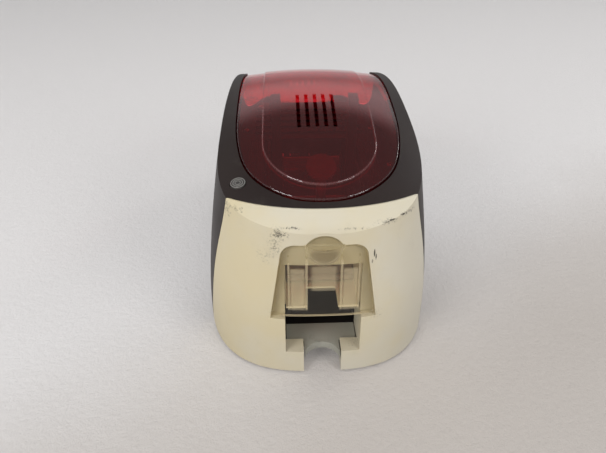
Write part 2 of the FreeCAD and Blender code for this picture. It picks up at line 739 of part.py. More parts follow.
def build_fascia(outer):
    """Cream front: outer skin, lid pocket, card opening, ledges and the walls of the card mouth."""
    zone = fascia_zone(0)
    skin = outer.common(zone).cut(envelope(FASCIA_WALL, True))
    pocket_wall = lid_prism(LID_GAP + POCKET_WALL, POCKET_BOTTOM - POCKET_WALL).common(walls(0))
    pocket_wall = pocket_wall.cut(walls(POCKET_DEPTH + POCKET_WALL))
    outside = walls(0)
    front = -CUT_OVERRUN
    seat = FLOOR_Z + SEAT_GAP
    inner = [block(OPENING_HALF_WIDTH, OPENING_HALF_WIDTH + MOUTH_WALL, front, MOUTH_WALL_END, seat,
                   MOUTH_WALL_TOP)]
    inner.append(block(NOTCH_HALF_WIDTH, OPENING_HALF_WIDTH + MOUTH_WALL, front, LEDGE_DEPTH,
                       LEDGE_TOP - LEDGE_SKIN, LEDGE_TOP))
    inner.append(block(NOTCH_HALF_WIDTH, NOTCH_HALF_WIDTH + LEDGE_SKIN, front, LEDGE_DEPTH, FOOT_HEIGHT,
                       LEDGE_TOP))
    side = joined(inner).common(outside)
    fascia = joined([skin, pocket_wall] + pair(side))
    pocket = lid_prism(LID_GAP, POCKET_BOTTOM).cut(walls(POCKET_DEPTH))
    tools = [pocket]
    tools.append(block(-OPENING_HALF_WIDTH, OPENING_HALF_WIDTH, front, -front, LEDGE_TOP, OPENING_TOP))
    tools.append(block(-NOTCH_HALF_WIDTH, NOTCH_HALF_WIDTH, front, -front, 0, LEDGE_TOP + PART_GAP))
    pin_end = lid_half_width(LID_PIVOT_Z) + LID_PIN_REACH + PART_GAP
    tools.append(rod(LID_PIN_RADIUS + RUNNING_GAP, -pin_end, pin_end, LID_PIVOT_DEPTH, LID_PIVOT_Z))
    for tool in tools:
        fascia = fascia.cut(tool)
    return fascia


def cover_outside():
    """The outside of the cover as a solid, with its rim and the edge of its raised panel rounded."""
    plan = cover_prism(0)
    base = plan.fuse(cap_zone(0).common(walls(0))).common(below_top(-COVER_PROUD, COVER_CROWN))
    upper = [edge for edge in base.Edges if edge.BoundBox.ZMin > FASCIA_TOP]
    rim = max(upper, key=lambda edge: edge.Length)
    height = COVER_PROUD + PANEL_RAISE
    raised = plan.common(panel_prism()).common(below_top(-height, COVER_CROWN))
    inside = below_top(PANEL_EDGE / 2 - height, COVER_CROWN)
    brow = []
    for edge in raised.Edges:
        middle = edge.valueAt((edge.FirstParameter + edge.LastParameter) / 2)
        if edge.BoundBox.YLength > PANEL_EDGE and not inside.isInside(middle, 0, True):
            brow.append(edge)
    return base.makeFillet(COVER_EDGE, [rim]).fuse(raised.makeFillet(PANEL_EDGE, brow))


def build_cover():
    """See-through cover: proud skin, raised panel, skirt, rear cap, vent slots and hinge knuckles."""
    cap = cap_zone(0)
    cavity = cover_prism(-COVER_SKIRT_WALL).fuse(cap.common(walls(CAP_SKIN)))
    cover = cover_outside().cut(cavity.common(below_top(COVER_SKIN, COVER_CROWN)))
    width = BODY_HALF_WIDTH
    clear = HINGE_KNUCKLE_RADIUS + COVER_GAP
    tools = [below_top(COVER_SKIRT_DEPTH, COVER_CROWN).cut(cap)]
    tools.append(block(-width, width, BULKHEAD_DEPTH, BODY_LENGTH, 0, HINGE_Z + COVER_REAR_LIFT))
    tools += pair(block(COVER_TAIL_HALF, width, BULKHEAD_DEPTH, BODY_LENGTH, 0, CAP_LINE[-1][1] + COVER_REAR_LIFT))
    tools.append(rod(clear, -HINGE_RELIEF_HALF, HINGE_RELIEF_HALF, HINGE_DEPTH, HINGE_Z).common(
        block(-width, width, 0, BODY_LENGTH, 0, HINGE_Z + HINGE_KNUCKLE_RADIUS)))
    for middle in spread(SLOT_COUNT, SLOT_PITCH):
        middle += SLOT_MIDDLE
        tools.append(block(middle - SLOT_WIDTH / 2, middle + SLOT_WIDTH / 2, SLOT_START, SLOT_END,
                           COVER_LOW, COVER_HIGH))
    for tool in tools:
        cover = cover.cut(tool)
    barrel = rod(HINGE_KNUCKLE_RADIUS, *COVER_KNUCKLE, HINGE_DEPTH, HINGE_Z)
    web = block(*COVER_KNUCKLE, HINGE_DEPTH - HINGE_KNUCKLE_RADIUS, HINGE_DEPTH + HINGE_KNUCKLE_RADIUS, HINGE_Z,
                COVER_HIGH).common(below_top(0, COVER_CROWN))
    knuckle = barrel.fuse(web).cut(rod(HINGE_ROD_RADIUS + RUNNING_GAP, *HINGE_ROD, HINGE_DEPTH, HINGE_Z))
    return cover.fuse(pair(knuckle))


def build_lid():
    """Feeder lid: bowed skin, slanting cheeks, stiffening ribs, hinge pins and the finger bowl."""
    outline = lid_prism(0, LID_BOTTOM)
    layer = outline.common(walls(-LID_PROUD))
    skin = layer.cut(walls(LID_SKIN - LID_PROUD))
    inner = lid_prism(-LID_CHEEK_WALL, LID_BOTTOM - LID_CHEEK_WALL)
    hood = layer.cut(walls(LID_CHEEK_DEPTH)).cut(inner)
    above = block(-BODY_HALF_WIDTH, BODY_HALF_WIDTH, -CUT_OVERRUN, CUT_OVERRUN, LID_PIVOT_Z, COVER_HIGH)
    parts = [skin, hood.common(above)]
    for middle in LID_RIBS:
        rib = block(middle - LID_RIB_WALL / 2, middle + LID_RIB_WALL / 2, -CUT_OVERRUN, CUT_OVERRUN,
                    LID_PIVOT_Z + LID_HUB_RADIUS, LID_TOP - LID_CORNER)
        parts += pair(rib.common(layer).cut(walls(LID_RIB_DEPTH)))
    edge = lid_half_width(LID_PIVOT_Z)
    hub = rod(LID_HUB_RADIUS, edge - LID_CHEEK_WALL, edge - LID_CHEEK_WALL / 4, LID_PIVOT_DEPTH, LID_PIVOT_Z)
    pin = rod(LID_PIN_RADIUS, edge - LID_CHEEK_WALL, edge + LID_PIN_REACH, LID_PIVOT_DEPTH, LID_PIVOT_Z)
    parts += pair(hub.fuse(pin))
    return parts[0].fuse(parts[1:] + [finger_bowl()])


def finger_bowl():
    """Half bowl that stands out of the lid, open at the top."""
    half_drop = GRIP_DROP
    sizes = []
    for wall in (0, GRIP_WALL):
        sphere = Part.makeSphere(half_drop)
        matrix = FreeCAD.Matrix()
        matrix.scale((GRIP_HALF_WIDTH - wall) / half_drop, (GRIP_REACH - wall) / half_drop, 1 - wall / half_drop)
        sizes.append(sphere.transformGeometry(matrix))
    bowl = sizes[0].cut(sizes[1])
    bowl.translate(point(0, front_line(GRIP_RIM), GRIP_RIM))
    front_half = block(-GRIP_HALF_WIDTH, GRIP_HALF_WIDTH, -CUT_OVERRUN, CUT_OVERRUN, GRIP_RIM - GRIP_DROP, GRIP_RIM)
    return bowl.common(front_half).cut(walls(-LID_PROUD / 2))


def build_base():
    """Base pan, rubber feet and base screws."""
    pan = Part.Face(plan_outline(FOOT_HEIGHT, PAN_RIM)).extrude(Vector(0, 0, PAN_THICKNESS))
    pan = pan.cut(block(-PAN_NOTCH_HALF, PAN_NOTCH_HALF, -CUT_OVERRUN, PAN_NOTCH_DEPTH, 0, FLOOR_Z + PART_GAP))
    feet = []
    screws = []
    for x, depth in FOOT_PLACES:
        feet += pair(post(FOOT_RADIUS, x, depth, 0, FOOT_HEIGHT))
    for x, depth in SCREW_PLACES:
        screws += pair(pan_head_screw(x, depth, FOOT_HEIGHT, 1, SCREW_HEAD_RADIUS, SCREW_HEAD_HEIGHT,
                                      SCREW_RADIUS, SCREW_TOP - FOOT_HEIGHT))
        pan = cut_all(pan, pair(post(SCREW_RADIUS + RUNNING_GAP, x, depth, 0, FLOOR_Z + PART_GAP)))
    for x, depth in CHASSIS_SCREWS:
        pan = cut_all(pan, pair(post(SMALL_SCREW_RADIUS + RUNNING_GAP, x, depth, 0, FLOOR_Z + PART_GAP)))
    return {"base_pan": pan, "rubber_feet": Part.makeCompound(feet), "base_screws": Part.makeCompound(screws)}


def build_output():
    """Output tray in the card mouth and the dark hopper behind it."""
    tray = block(-TRAY_HALF, TRAY_HALF, TRAY_FRONT, TRAY_REAR, TRAY_TOP - TRAY_THICKNESS, TRAY_TOP)
    tongue = block(-TRAY_TONGUE_HALF, TRAY_TONGUE_HALF, TRAY_TONGUE_FRONT, TRAY_REAR, TRAY_TOP - TRAY_THICKNESS,
                   TRAY_TOP)
    tray = tray.fuse(tongue).cut(post(TRAY_TONGUE_HALF, 0, TRAY_ARCH_DEPTH, 0, TRAY_TOP + PART_GAP))
    hollow = block(-TRAY_HALF + TRAY_SHELL, TRAY_HALF - TRAY_SHELL, TRAY_FRONT + TRAY_SHELL,
                   TRAY_REAR - TRAY_SHELL, 0, TRAY_TOP - TRAY_SHELL)
    tray = tray.cut(hollow)
    rib = block(*TRAY_RIBS, TRAY_FRONT, TRAY_REAR, FLOOR_Z, TRAY_TOP - TRAY_SHELL / 2)
    tray = joined([tray] + pair(rib))
    low = TRAY_TOP - HOPPER_DROP
    floor = side_plate([(HOPPER_FRONT, TRAY_TOP), (HOPPER_REAR, low), (HOPPER_REAR, low - HOPPER_WALL),
                        (HOPPER_FRONT, TRAY_TOP - HOPPER_WALL)], -HOPPER_HALF, HOPPER_HALF)
    cheek = block(HOPPER_HALF, HOPPER_HALF + HOPPER_WALL, HOPPER_WALL_FRONT, HOPPER_REAR, CHASSIS_FLOOR_Z,
                  HOPPER_SIDE_TOP)
    stop = block(-HOPPER_HALF, HOPPER_HALF, HOPPER_REAR - HOPPER_WALL, HOPPER_REAR, low - HOPPER_WALL,
                 HOPPER_STOP_TOP)
    return {"output_tray": tray, "output_hopper": joined([floor, stop] + pair(cheek))}


def build_chassis():
    """Bent sheet chassis with bearing holes, spool notches and its screws."""
    right = side_plate(CHASSIS_OUTLINE, PLATE_INNER, PLATE_INNER + PLATE_WALL)
    x0 = PLATE_INNER - PLATE_WALL
    x1 = PLATE_INNER + 2 * PLATE_WALL
    holes = [side_plate(CHASSIS_WINDOW, x0, x1)]
    holes += [rod(BUSH_RADIUS + RUNNING_GAP, x0, x1, *axis) for axis in ROLLER_AXES]
    holes += [rod(PIN_SHAFT_RADIUS + RUNNING_GAP, x0, x1, *axis) for axis in PIN_AXES]
    notch = SPOOL_JOURNAL_RADIUS + RUNNING_GAP
    for depth, z in ((SUPPLY_DEPTH, SUPPLY_Z), (TAKEUP_DEPTH, TAKEUP_Z)):
        holes.append(rod(notch, x0, x1, depth, z))
        holes.append(block(x0, x1, depth - notch, depth + notch, z, CHASSIS_TOP + PART_GAP))
    right = cut_all(right, holes)
    left = mirrored(right)
    left = left.cut(rod(MOTOR_BOSS_RADIUS + RUNNING_GAP, -x1, -x0, *MOTOR))
    left = cut_all(left, [rod(AXLE_RADIUS + RUNNING_GAP, -x1, -x0, *place)
                          for place in (FEED_IDLER, ENTRY_IDLER, REAR_IDLER, MOTOR_IDLER)])
    floor = block(-PLATE_INNER, PLATE_INNER, CHASSIS_OUTLINE[0][0], CHASSIS_OUTLINE[1][0], FLOOR_Z,
                  CHASSIS_FLOOR_Z)
    screws = []
    for x, depth in CHASSIS_SCREWS:
        floor = cut_all(floor, pair(post(SMALL_SCREW_RADIUS + RUNNING_GAP, x, depth, 0, COVER_LOW)))
        screws += pair(pan_head_screw(x, depth, CHASSIS_FLOOR_Z, -1, SMALL_SCREW_HEAD, SMALL_SCREW_HEIGHT,
                                      SMALL_SCREW_RADIUS, SMALL_SCREW_REACH))
    chassis = joined([floor, right, left])
    bushes = []
    for depth, z in ROLLER_AXES:
        bush = rod(BUSH_RADIUS, PLATE_INNER, PLATE_INNER + PLATE_WALL, depth, z).fuse(
            rod(BUSH_FLANGE_RADIUS, PLATE_INNER + PLATE_WALL, PLATE_INNER + PLATE_WALL + BUSH_FLANGE, depth, z))
        bushes += pair(bush.cut(rod(SHAFT_RADIUS + RUNNING_GAP, 0, BODY_HALF_WIDTH, depth, z)))
    return {"chassis": chassis, "chassis_screws": Part.makeCompound(screws),
            "roller_bushes": Part.makeCompound(bushes)}


def build_deck():
    """Inner deck with the feeder hatch, the ribbon bay and the guide of the latch catch."""
    region = block(-BODY_HALF_WIDTH, BODY_HALF_WIDTH, DECK_FRONT, DECK_REAR, CHASSIS_TOP, DECK_Z)
    deck = region.common(envelope(DECK_WALL_GAP))
    deck = deck.cut(block(-HATCH[0], HATCH[0], HATCH[1], HATCH[2], 0, COVER_HIGH))
    deck = deck.cut(block(-BAY[0], BAY[0], BAY[1], BAY[2], 0, COVER_HIGH))
    deck = deck.cut(post(LATCH_HOLE_RADIUS, 0, LATCH_DEPTH, 0, COVER_HIGH))
    catch_front = LATCH_DEPTH + LATCH_POST_RADIUS - CATCH_BITE
    rail_front = LATCH_DEPTH + LATCH_HOLE_RADIUS
    rail_rear = catch_front + CATCH_LENGTH
    lip_z = DECK_Z + 2 * SEAT_GAP + CATCH_THICKNESS
    rail = block(*GUIDE_RAIL, rail_front, rail_rear, DECK_Z, lip_z + GUIDE_LIP)
    lip = block(GUIDE_LIP_INNER, GUIDE_RAIL[1], rail_front, rail_rear, lip_z, lip_z + GUIDE_LIP)
    deck = joined([deck] + pair(rail.fuse(lip)))
    catch_z = DECK_Z + SEAT_GAP
    catch = block(-CATCH_HALF, CATCH_HALF, catch_front, rail_rear, catch_z, catch_z + CATCH_THICKNESS)
    tab = block(-CATCH_TAB[0], CATCH_TAB[0], rail_rear - CATCH_TAB[1], rail_rear, catch_z,
                catch_z + CATCH_THICKNESS + CATCH_TAB[2])
    bevel = side_plate([(catch_front, catch_z + CATCH_THICKNESS / 2), (catch_front + CATCH_BITE, catch_z +
                       CATCH_THICKNESS), (catch_front, catch_z + CATCH_THICKNESS)], -CATCH_HALF, CATCH_HALF)
    catch = catch.fuse(tab).cut(bevel).removeSplitter()
    return {"inner_deck": deck, "latch_catch": catch}


def build_latch():
    """Latch post under the cover, with the round pad that shows through the cover."""
    column = post(LATCH_DISC_RADIUS, 0, LATCH_DEPTH, LATCH_BOTTOM, COVER_HIGH)
    disc = top_layer(column, COVER_SKIN + SEAT_GAP, COVER_SKIN + SEAT_GAP + LATCH_DISC)
    stem = post(LATCH_POST_RADIUS, 0, LATCH_DEPTH, LATCH_BOTTOM, COVER_HIGH)
    stem = stem.common(below_top(COVER_SKIN + SEAT_GAP + LATCH_DISC / 2, COVER_CROWN))
    notch_z = DECK_Z
    notch = block(-LATCH_POST_RADIUS, LATCH_POST_RADIUS, LATCH_DEPTH + LATCH_POST_RADIUS - LATCH_NOTCH_DEPTH,
                  LATCH_DEPTH + LATCH_POST_RADIUS, notch_z, notch_z + CATCH_THICKNESS + 2 * SEAT_GAP)
    return joined([disc, stem.cut(notch)])


def build_gear_train():
    """Gears on the left of the chassis, the fixed axles of the idlers and the motor pinion."""
    platen = (WHEEL_TEETH, PLATEN, 0)
    entry_idler = (IDLER_TEETH, ENTRY_IDLER, mesh_phase(platen, IDLER_TEETH, ENTRY_IDLER))
    entry = (WHEEL_TEETH, ENTRY, mesh_phase(entry_idler, WHEEL_TEETH, ENTRY))
    feed_idler = (WHEEL_TEETH, FEED_IDLER, mesh_phase(entry, WHEEL_TEETH, FEED_IDLER))
    feed = (WHEEL_TEETH, FEED, mesh_phase(feed_idler, WHEEL_TEETH, FEED))
    rear_idler = (IDLER_TEETH, REAR_IDLER, mesh_phase(platen, IDLER_TEETH, REAR_IDLER))
    rear = (WHEEL_TEETH, REAR, mesh_phase(rear_idler, WHEEL_TEETH, REAR))
    motor_idler = (WHEEL_TEETH, MOTOR_IDLER, mesh_phase(rear, WHEEL_TEETH, MOTOR_IDLER))
    pinion = (IDLER_TEETH, MOTOR, mesh_phase(motor_idler, IDLER_TEETH, MOTOR))
    wheels = {"platen_gear": platen, "entry_gear": entry, "feed_gear": feed, "rear_gear": rear}
    idlers = {"entry_idler": entry_idler, "feed_idler": feed_idler, "rear_idler": rear_idler,
              "motor_idler": motor_idler}
    parts = {}
    for name, (teeth, place, phase) in wheels.items():
        parts[name] = gear(teeth, *place, phase, SHAFT_RADIUS + FILM_FIT)
    for name, (teeth, place, phase) in idlers.items():
        parts[name] = gear(teeth, *place, phase, AXLE_RADIUS + RUNNING_GAP)
    shaft = rod(MOTOR_SHAFT_RADIUS, GEAR_X[0], -PLATE_INNER + MOTOR_BOSS_LENGTH, *MOTOR)
    parts["motor_pinion"] = joined([gear(*flat(pinion), MOTOR_SHAFT_RADIUS), shaft])
    outside = -PLATE_INNER - PLATE_WALL
    axles = []
    for place in (FEED_IDLER, ENTRY_IDLER, REAR_IDLER, MOTOR_IDLER):
        pin = rod(AXLE_RADIUS, SHAFT_LEFT, -PLATE_INNER, *place)
        shoulder = rod(AXLE_SHOULDER, GEAR_X[1] + SEAT_GAP, outside, *place)
        clip = rod(AXLE_SHOULDER, SHAFT_LEFT, SHAFT_LEFT + AXLE_CLIP, *place)
        axles.append(joined([pin, shoulder, clip]))
    parts["gear_axles"] = Part.makeCompound(axles)
    inner = -PLATE_INNER
    motor = rod(MOTOR_RADIUS, inner, inner + MOTOR_LENGTH, *MOTOR).fuse(
        rod(MOTOR_BOSS_RADIUS, outside, inner, *MOTOR)).removeSplitter()
    bore_end = inner + MOTOR_BOSS_LENGTH + SEAT_GAP
    parts["drive_motor"] = motor.cut(rod(MOTOR_SHAFT_RADIUS + RUNNING_GAP, outside, bore_end, *MOTOR))
    return parts


def flat(wheel):
    """Teeth, depth, height and phase of a wheel in one row."""
    teeth, (depth, z), phase = wheel
    return teeth, depth, z, phase


def build_rollers():
    """Driven rollers with steel shafts and rubber sleeves, and the free rollers above them."""
    parts = {}
    for name, axis, radius, half in (("feed", FEED, FEED_RADIUS, FEED_HALF),
                                     ("entry", ENTRY, ROLLER_RADIUS, ROLLER_HALF),
                                     ("platen", PLATEN, ROLLER_RADIUS, ROLLER_HALF),
                                     ("rear", REAR, ROLLER_RADIUS, ROLLER_HALF)):
        parts[name + "_shaft"] = rod(SHAFT_RADIUS, SHAFT_LEFT, SHAFT_RIGHT, *axis)
        parts[name + "_roller"] = ring(radius, SHAFT_RADIUS + FILM_FIT, -half, half, *axis)
    free = (("entry_pinch_roller", PINCH_RADIUS, PINCH_HALF), ("rear_pinch_roller", PINCH_RADIUS, PINCH_HALF),
            ("cleaning_roller", CLEANER_RADIUS, ROLLER_HALF))
    for (name, radius, half), axis in zip(free, PIN_AXES):
        parts[name] = joined([rod(radius, -half, half, *axis),
                              rod(PIN_SHAFT_RADIUS, -PIN_SHAFT_END, PIN_SHAFT_END, *axis)])
    bottom = GUIDE_PLATE_TOP - GUIDE_PLATE_THICKNESS
    guide = block(-PLATE_INNER, PLATE_INNER, *GUIDE_PLATE, bottom, GUIDE_PLATE_TOP)
    for depth, z in ROLLER_AXES[1:]:
        guide = guide.cut(block(-GUIDE_WINDOW_HALF, GUIDE_WINDOW_HALF, depth - GUIDE_WINDOW_REACH,
                                depth + GUIDE_WINDOW_REACH, bottom, GUIDE_PLATE_TOP))
    parts["card_guide"] = guide
    return parts


def bin_floor_z(depth):
    """Height of the feeder floor at a depth."""
    fall = (BIN_FLOOR_FRONT_Z - BIN_FLOOR_REAR_Z) / (BIN_REAR - BIN_LIP)
    return BIN_FLOOR_FRONT_Z - fall * (depth - BIN_LIP)


def build_feeder():
    """Feeder bin with its sloping floor, and the hinged card pusher inside it."""
    floor = side_plate([(BIN_LIP, BIN_FLOOR_FRONT_Z), (BIN_REAR, BIN_FLOOR_REAR_Z),
                        (BIN_REAR, BIN_FLOOR_REAR_Z - BIN_FLOOR), (BIN_LIP, BIN_FLOOR_FRONT_Z - BIN_FLOOR)],
                       -BIN_INNER, BIN_INNER)
    step_depth = MOUTH_WALL_END + PART_GAP
    step_z = MOUTH_WALL_TOP + PART_GAP
    cheek = side_plate([(BIN_FRONT, BIN_TOP), (BIN_REAR, BIN_TOP), (BIN_REAR, BIN_FLOOR_REAR_Z - BIN_FLOOR),
                        (step_depth, bin_floor_z(step_depth) - BIN_FLOOR), (step_depth, step_z),
                        (BIN_FRONT, step_z)], BIN_INNER, BIN_INNER + BIN_WALL)
    back = block(-BIN_INNER, BIN_INNER, BIN_REAR - BIN_WALL, BIN_REAR,
                 bin_floor_z(BIN_REAR - BIN_WALL) + BIN_GATE, BIN_TOP)
    wings = [block(BIN_INNER + BIN_WALL, PLATE_INNER, start, end, *BIN_WING_Z) for start, end in BIN_WINGS]
    side = joined([cheek] + wings)
    bin_shape = joined([floor, back] + pair(side))
    tools = [block(-BIN_NOTCH_HALF, BIN_NOTCH_HALF, 0, BIN_NOTCH_END, PATH_Z, BIN_TOP - BIN_WALL)]
    tools.append(block(-BIN_WINDOW[0], BIN_WINDOW[0], FEED_DEPTH - BIN_WINDOW[1], FEED_DEPTH + BIN_WINDOW[1],
                       FEED_Z, BIN_FLOOR_FRONT_Z))
    pin_end = BIN_INNER + BIN_WALL
    tools.append(rod(PUSHER_PIN_RADIUS + RUNNING_GAP, -pin_end, pin_end, PUSHER_PIVOT_DEPTH, PUSHER_PIVOT_Z))
    bin_shape = cut_all(bin_shape, tools)
    tip_z = bin_floor_z(PUSHER_TIP_DEPTH) + PUSHER_LIFT + PUSHER_TIP_RADIUS
    run = PUSHER_TIP_DEPTH - PUSHER_PIVOT_DEPTH
    rise = tip_z - PUSHER_PIVOT_Z
    shift = PUSHER_PLATE / 2 / math.hypot(run, rise)
    plate = side_plate([(PUSHER_PIVOT_DEPTH - rise * shift, PUSHER_PIVOT_Z + run * shift),
                        (PUSHER_TIP_DEPTH - rise * shift, tip_z + run * shift),
                        (PUSHER_TIP_DEPTH + rise * shift, tip_z - run * shift),
                        (PUSHER_PIVOT_DEPTH + rise * shift, PUSHER_PIVOT_Z - run * shift)],
                       -PUSHER_HALF, PUSHER_HALF)
    pusher = joined([plate, rod(PUSHER_TIP_RADIUS, -PUSHER_HALF, PUSHER_HALF, PUSHER_TIP_DEPTH, tip_z),
                     rod(PUSHER_HUB_RADIUS, -PUSHER_HALF, PUSHER_HALF, PUSHER_PIVOT_DEPTH, PUSHER_PIVOT_Z),
                     rod(PUSHER_PIN_RADIUS, -pin_end, pin_end, PUSHER_PIVOT_DEPTH, PUSHER_PIVOT_Z)])
    return {"feeder_bin": bin_shape, "card_pusher": pusher}


def build_spools():
    """Ribbon spools in the chassis notches, their wound film and the web of film between them."""
    parts = {}
    for name, depth, z, flange, roll in (("supply", SUPPLY_DEPTH, SUPPLY_Z, SUPPLY_FLANGE_RADIUS,
                                          SUPPLY_ROLL_RADIUS),
                                         ("takeup", TAKEUP_DEPTH, TAKEUP_Z, TAKEUP_FLANGE_RADIUS,
                                          TAKEUP_ROLL_RADIUS)):
        side = rod(flange, SPOOL_INNER, SPOOL_INNER + SPOOL_FLANGE, depth, z)
        journal = rod(SPOOL_JOURNAL_RADIUS, SPOOL_INNER, SPOOL_JOURNAL_END, depth, z)
        core = rod(SPOOL_CORE_RADIUS, -SPOOL_INNER, SPOOL_INNER, depth, z)
        parts[name + "_spool"] = joined([core] + pair(side.fuse(journal)))
        parts[name + "_film"] = ring(roll, SPOOL_CORE_RADIUS + FILM_FIT, -FILM_HALF, FILM_HALF, depth, z)
    low = PATH_Z + SEAT_GAP
    turn_front = (FILM_FRONT, low)
    turn_rear = (FILM_REAR, low)
    front = film_start(turn_front, (TAKEUP_DEPTH, TAKEUP_Z), TAKEUP_ROLL_RADIUS + SEAT_GAP, 1)
    rear = film_start(turn_rear, (SUPPLY_DEPTH, SUPPLY_Z), SUPPLY_ROLL_RADIUS + SEAT_GAP, -1)
    line = [front, turn_front, turn_rear, rear]
    upper = [(front[0] + FILM_THICKNESS, front[1]), (FILM_FRONT + FILM_THICKNESS, low + FILM_THICKNESS),
             (FILM_REAR - FILM_THICKNESS, low + FILM_THICKNESS), (rear[0] - FILM_THICKNESS, rear[1])]
    parts["ribbon_film"] = side_plate(line + upper[::-1], -FILM_HALF, FILM_HALF)
    return parts


def film_start(turn, centre, radius, side):
    """Where the film leaves a roll on its way to a turning point, on the rear (1) or front (-1) side."""
    run = turn[0] - centre[0]
    rise = turn[1] - centre[1]
    length = math.hypot(run, rise)
    angle = math.atan2(rise, run) + side * math.acos(radius / length)
    return centre[0] + radius * math.cos(angle), centre[1] + radius * math.sin(angle)


def build_print_head():
    """Print head with its fins, and the carrier that hangs it under the cover."""
    head = side_plate(HEAD_OUTLINE, -HEAD_HALF, HEAD_HALF)
    top = HEAD_OUTLINE[-1][1]
    fins = [block(x - FIN_WALL / 2, x + FIN_WALL / 2, *FIN_SPAN, top, FIN_TOP) for x in spread(FIN_COUNT, FIN_PITCH)]
    ear = rod(HEAD_EAR_RADIUS, *HEAD_EAR, HEAD_PIVOT_DEPTH, HEAD_PIVOT_Z).fuse(
        block(*HEAD_EAR, HEAD_PIVOT_DEPTH - HEAD_EAR_RADIUS, HEAD_PIVOT_DEPTH + HEAD_EAR_RADIUS, top,
              HEAD_PIVOT_Z))
    ear = ear.cut(rod(HEAD_AXLE_RADIUS + RUNNING_GAP, *HEAD_EAR, HEAD_PIVOT_DEPTH, HEAD_PIVOT_Z))
    head = joined([head] + fins + pair(ear))
    plate = block(-CARRIER_HALF, CARRIER_HALF, *CARRIER_DEPTHS, *CARRIER_Z)
    cheek = block(*CARRIER_CHEEK, *CARRIER_DEPTHS, CARRIER_CHEEK_BOTTOM, CARRIER_Z[0])
    arm = block(*CARRIER_ARM, *CARRIER_ARM_DEPTHS, CARRIER_Z[1], COVER_HIGH)
    arm = arm.common(below_top(COVER_SKIN + SEAT_GAP, COVER_CROWN))
    lug = block(*CARRIER_LUG, HEAD_PIVOT_DEPTH - CARRIER_LUG_HALF, HEAD_PIVOT_DEPTH + CARRIER_LUG_HALF,
                HEAD_PIVOT_Z - CARRIER_LUG_HALF, CARRIER_Z[0])
    axle = rod(HEAD_AXLE_RADIUS, *HEAD_AXLE, HEAD_PIVOT_DEPTH, HEAD_PIVOT_Z)
    carrier = joined([plate] + pair(joined([cheek, arm])) + pair(joined([lug, axle])))
    bars = []
    for depth in GUIDE_BAR_DEPTHS:
        bars.append(rod(GUIDE_BAR_RADIUS, -CARRIER_CHEEK[0], CARRIER_CHEEK[0], depth, GUIDE_BAR_Z))
    springs = []
    start = top + SEAT_GAP
    height = CARRIER_Z[0] - SEAT_GAP - start - 2 * SPRING_WIRE
    helix = Part.makeHelix(height / SPRING_TURNS, height, SPRING_RADIUS)
    circle = Part.Wire([Part.Circle(Vector(SPRING_RADIUS, 0, 0), Vector(0, 1, 0), SPRING_WIRE).toShape()])
    coil = Part.Wire(helix.Edges).makePipeShell([circle], True, True)
    for x in (-SPRING_X, SPRING_X):
        spring = coil.copy()
        spring.translate(point(x, SPRING_DEPTH, start + SPRING_WIRE))
        springs.append(spring)
    return {"print_head": head, "head_carrier": carrier, "film_guide_bars": Part.makeCompound(bars),
            "head_springs": Part.makeCompound(springs)}


def build_button():
    """Control button and its small board with the switch on it."""
    cap = top_layer(button_prism(0), -BUTTON_PROUD, BUTTON_THICKNESS, SHELL_CROWN)
    flange = top_layer(button_prism(BUTTON_GAP + BUTTON_FLANGE), BUTTON_THICKNESS - BUTTON_FLANGE_THICKNESS,
                       BUTTON_THICKNESS, SHELL_CROWN)
    x0, x1, front, rear = BUTTON_BOARD
    board = block(x0, x1, front, rear, BUTTON_BOARD_Z - BUTTON_BOARD_THICKNESS, BUTTON_BOARD_Z)
    half = SWITCH_SIDE / 2
    body = block(BUTTON_X - half, BUTTON_X + half, BUTTON_DEPTH - half, BUTTON_DEPTH + half, BUTTON_BOARD_Z,
                 BUTTON_BOARD_Z + SWITCH_HEIGHT)
    plunger = post(SWITCH_PLUNGER_RADIUS, BUTTON_X, BUTTON_DEPTH, BUTTON_BOARD_Z, SWITCH_PLUNGER_TOP)
    return {"control_button": joined([cap, flange]), "button_board": joined([board, body, plunger])}


def build_hinge():
    """Rear bulkhead, the two hinge brackets on it and the hinge pins."""
    rear = BULKHEAD_DEPTH + BULKHEAD_WALL
    bulkhead = block(-BULKHEAD_HALF_WIDTH, BULKHEAD_HALF_WIDTH, BULKHEAD_DEPTH, rear, FLOOR_Z, BULKHEAD_TOP)
    bulkhead = bulkhead.cut(block(-BULKHEAD_ARCH[0], BULKHEAD_ARCH[0], BULKHEAD_DEPTH, rear, 0, BULKHEAD_ARCH[1]))
    barrel = rod(HINGE_KNUCKLE_RADIUS, *BRACKET_KNUCKLE, HINGE_DEPTH, HINGE_Z)
    arm = block(*BRACKET_KNUCKLE, rear, HINGE_DEPTH, *BRACKET_ARM)
    tower = block(*TOWER, rear, rear + TOWER_LENGTH, BRACKET_ARM[0], TOWER_TOP)
    bracket = joined([barrel, arm, tower])
    bracket = bracket.cut(rod(HINGE_ROD_RADIUS + RUNNING_GAP, *HINGE_ROD, HINGE_DEPTH, HINGE_Z))
    pin = rod(HINGE_ROD_RADIUS, *HINGE_ROD, HINGE_DEPTH, HINGE_Z)
    return {"rear_bulkhead": bulkhead, "hinge_brackets": Part.makeCompound(pair(bracket)),
            "hinge_pins": Part.makeCompound(pair(pin))}


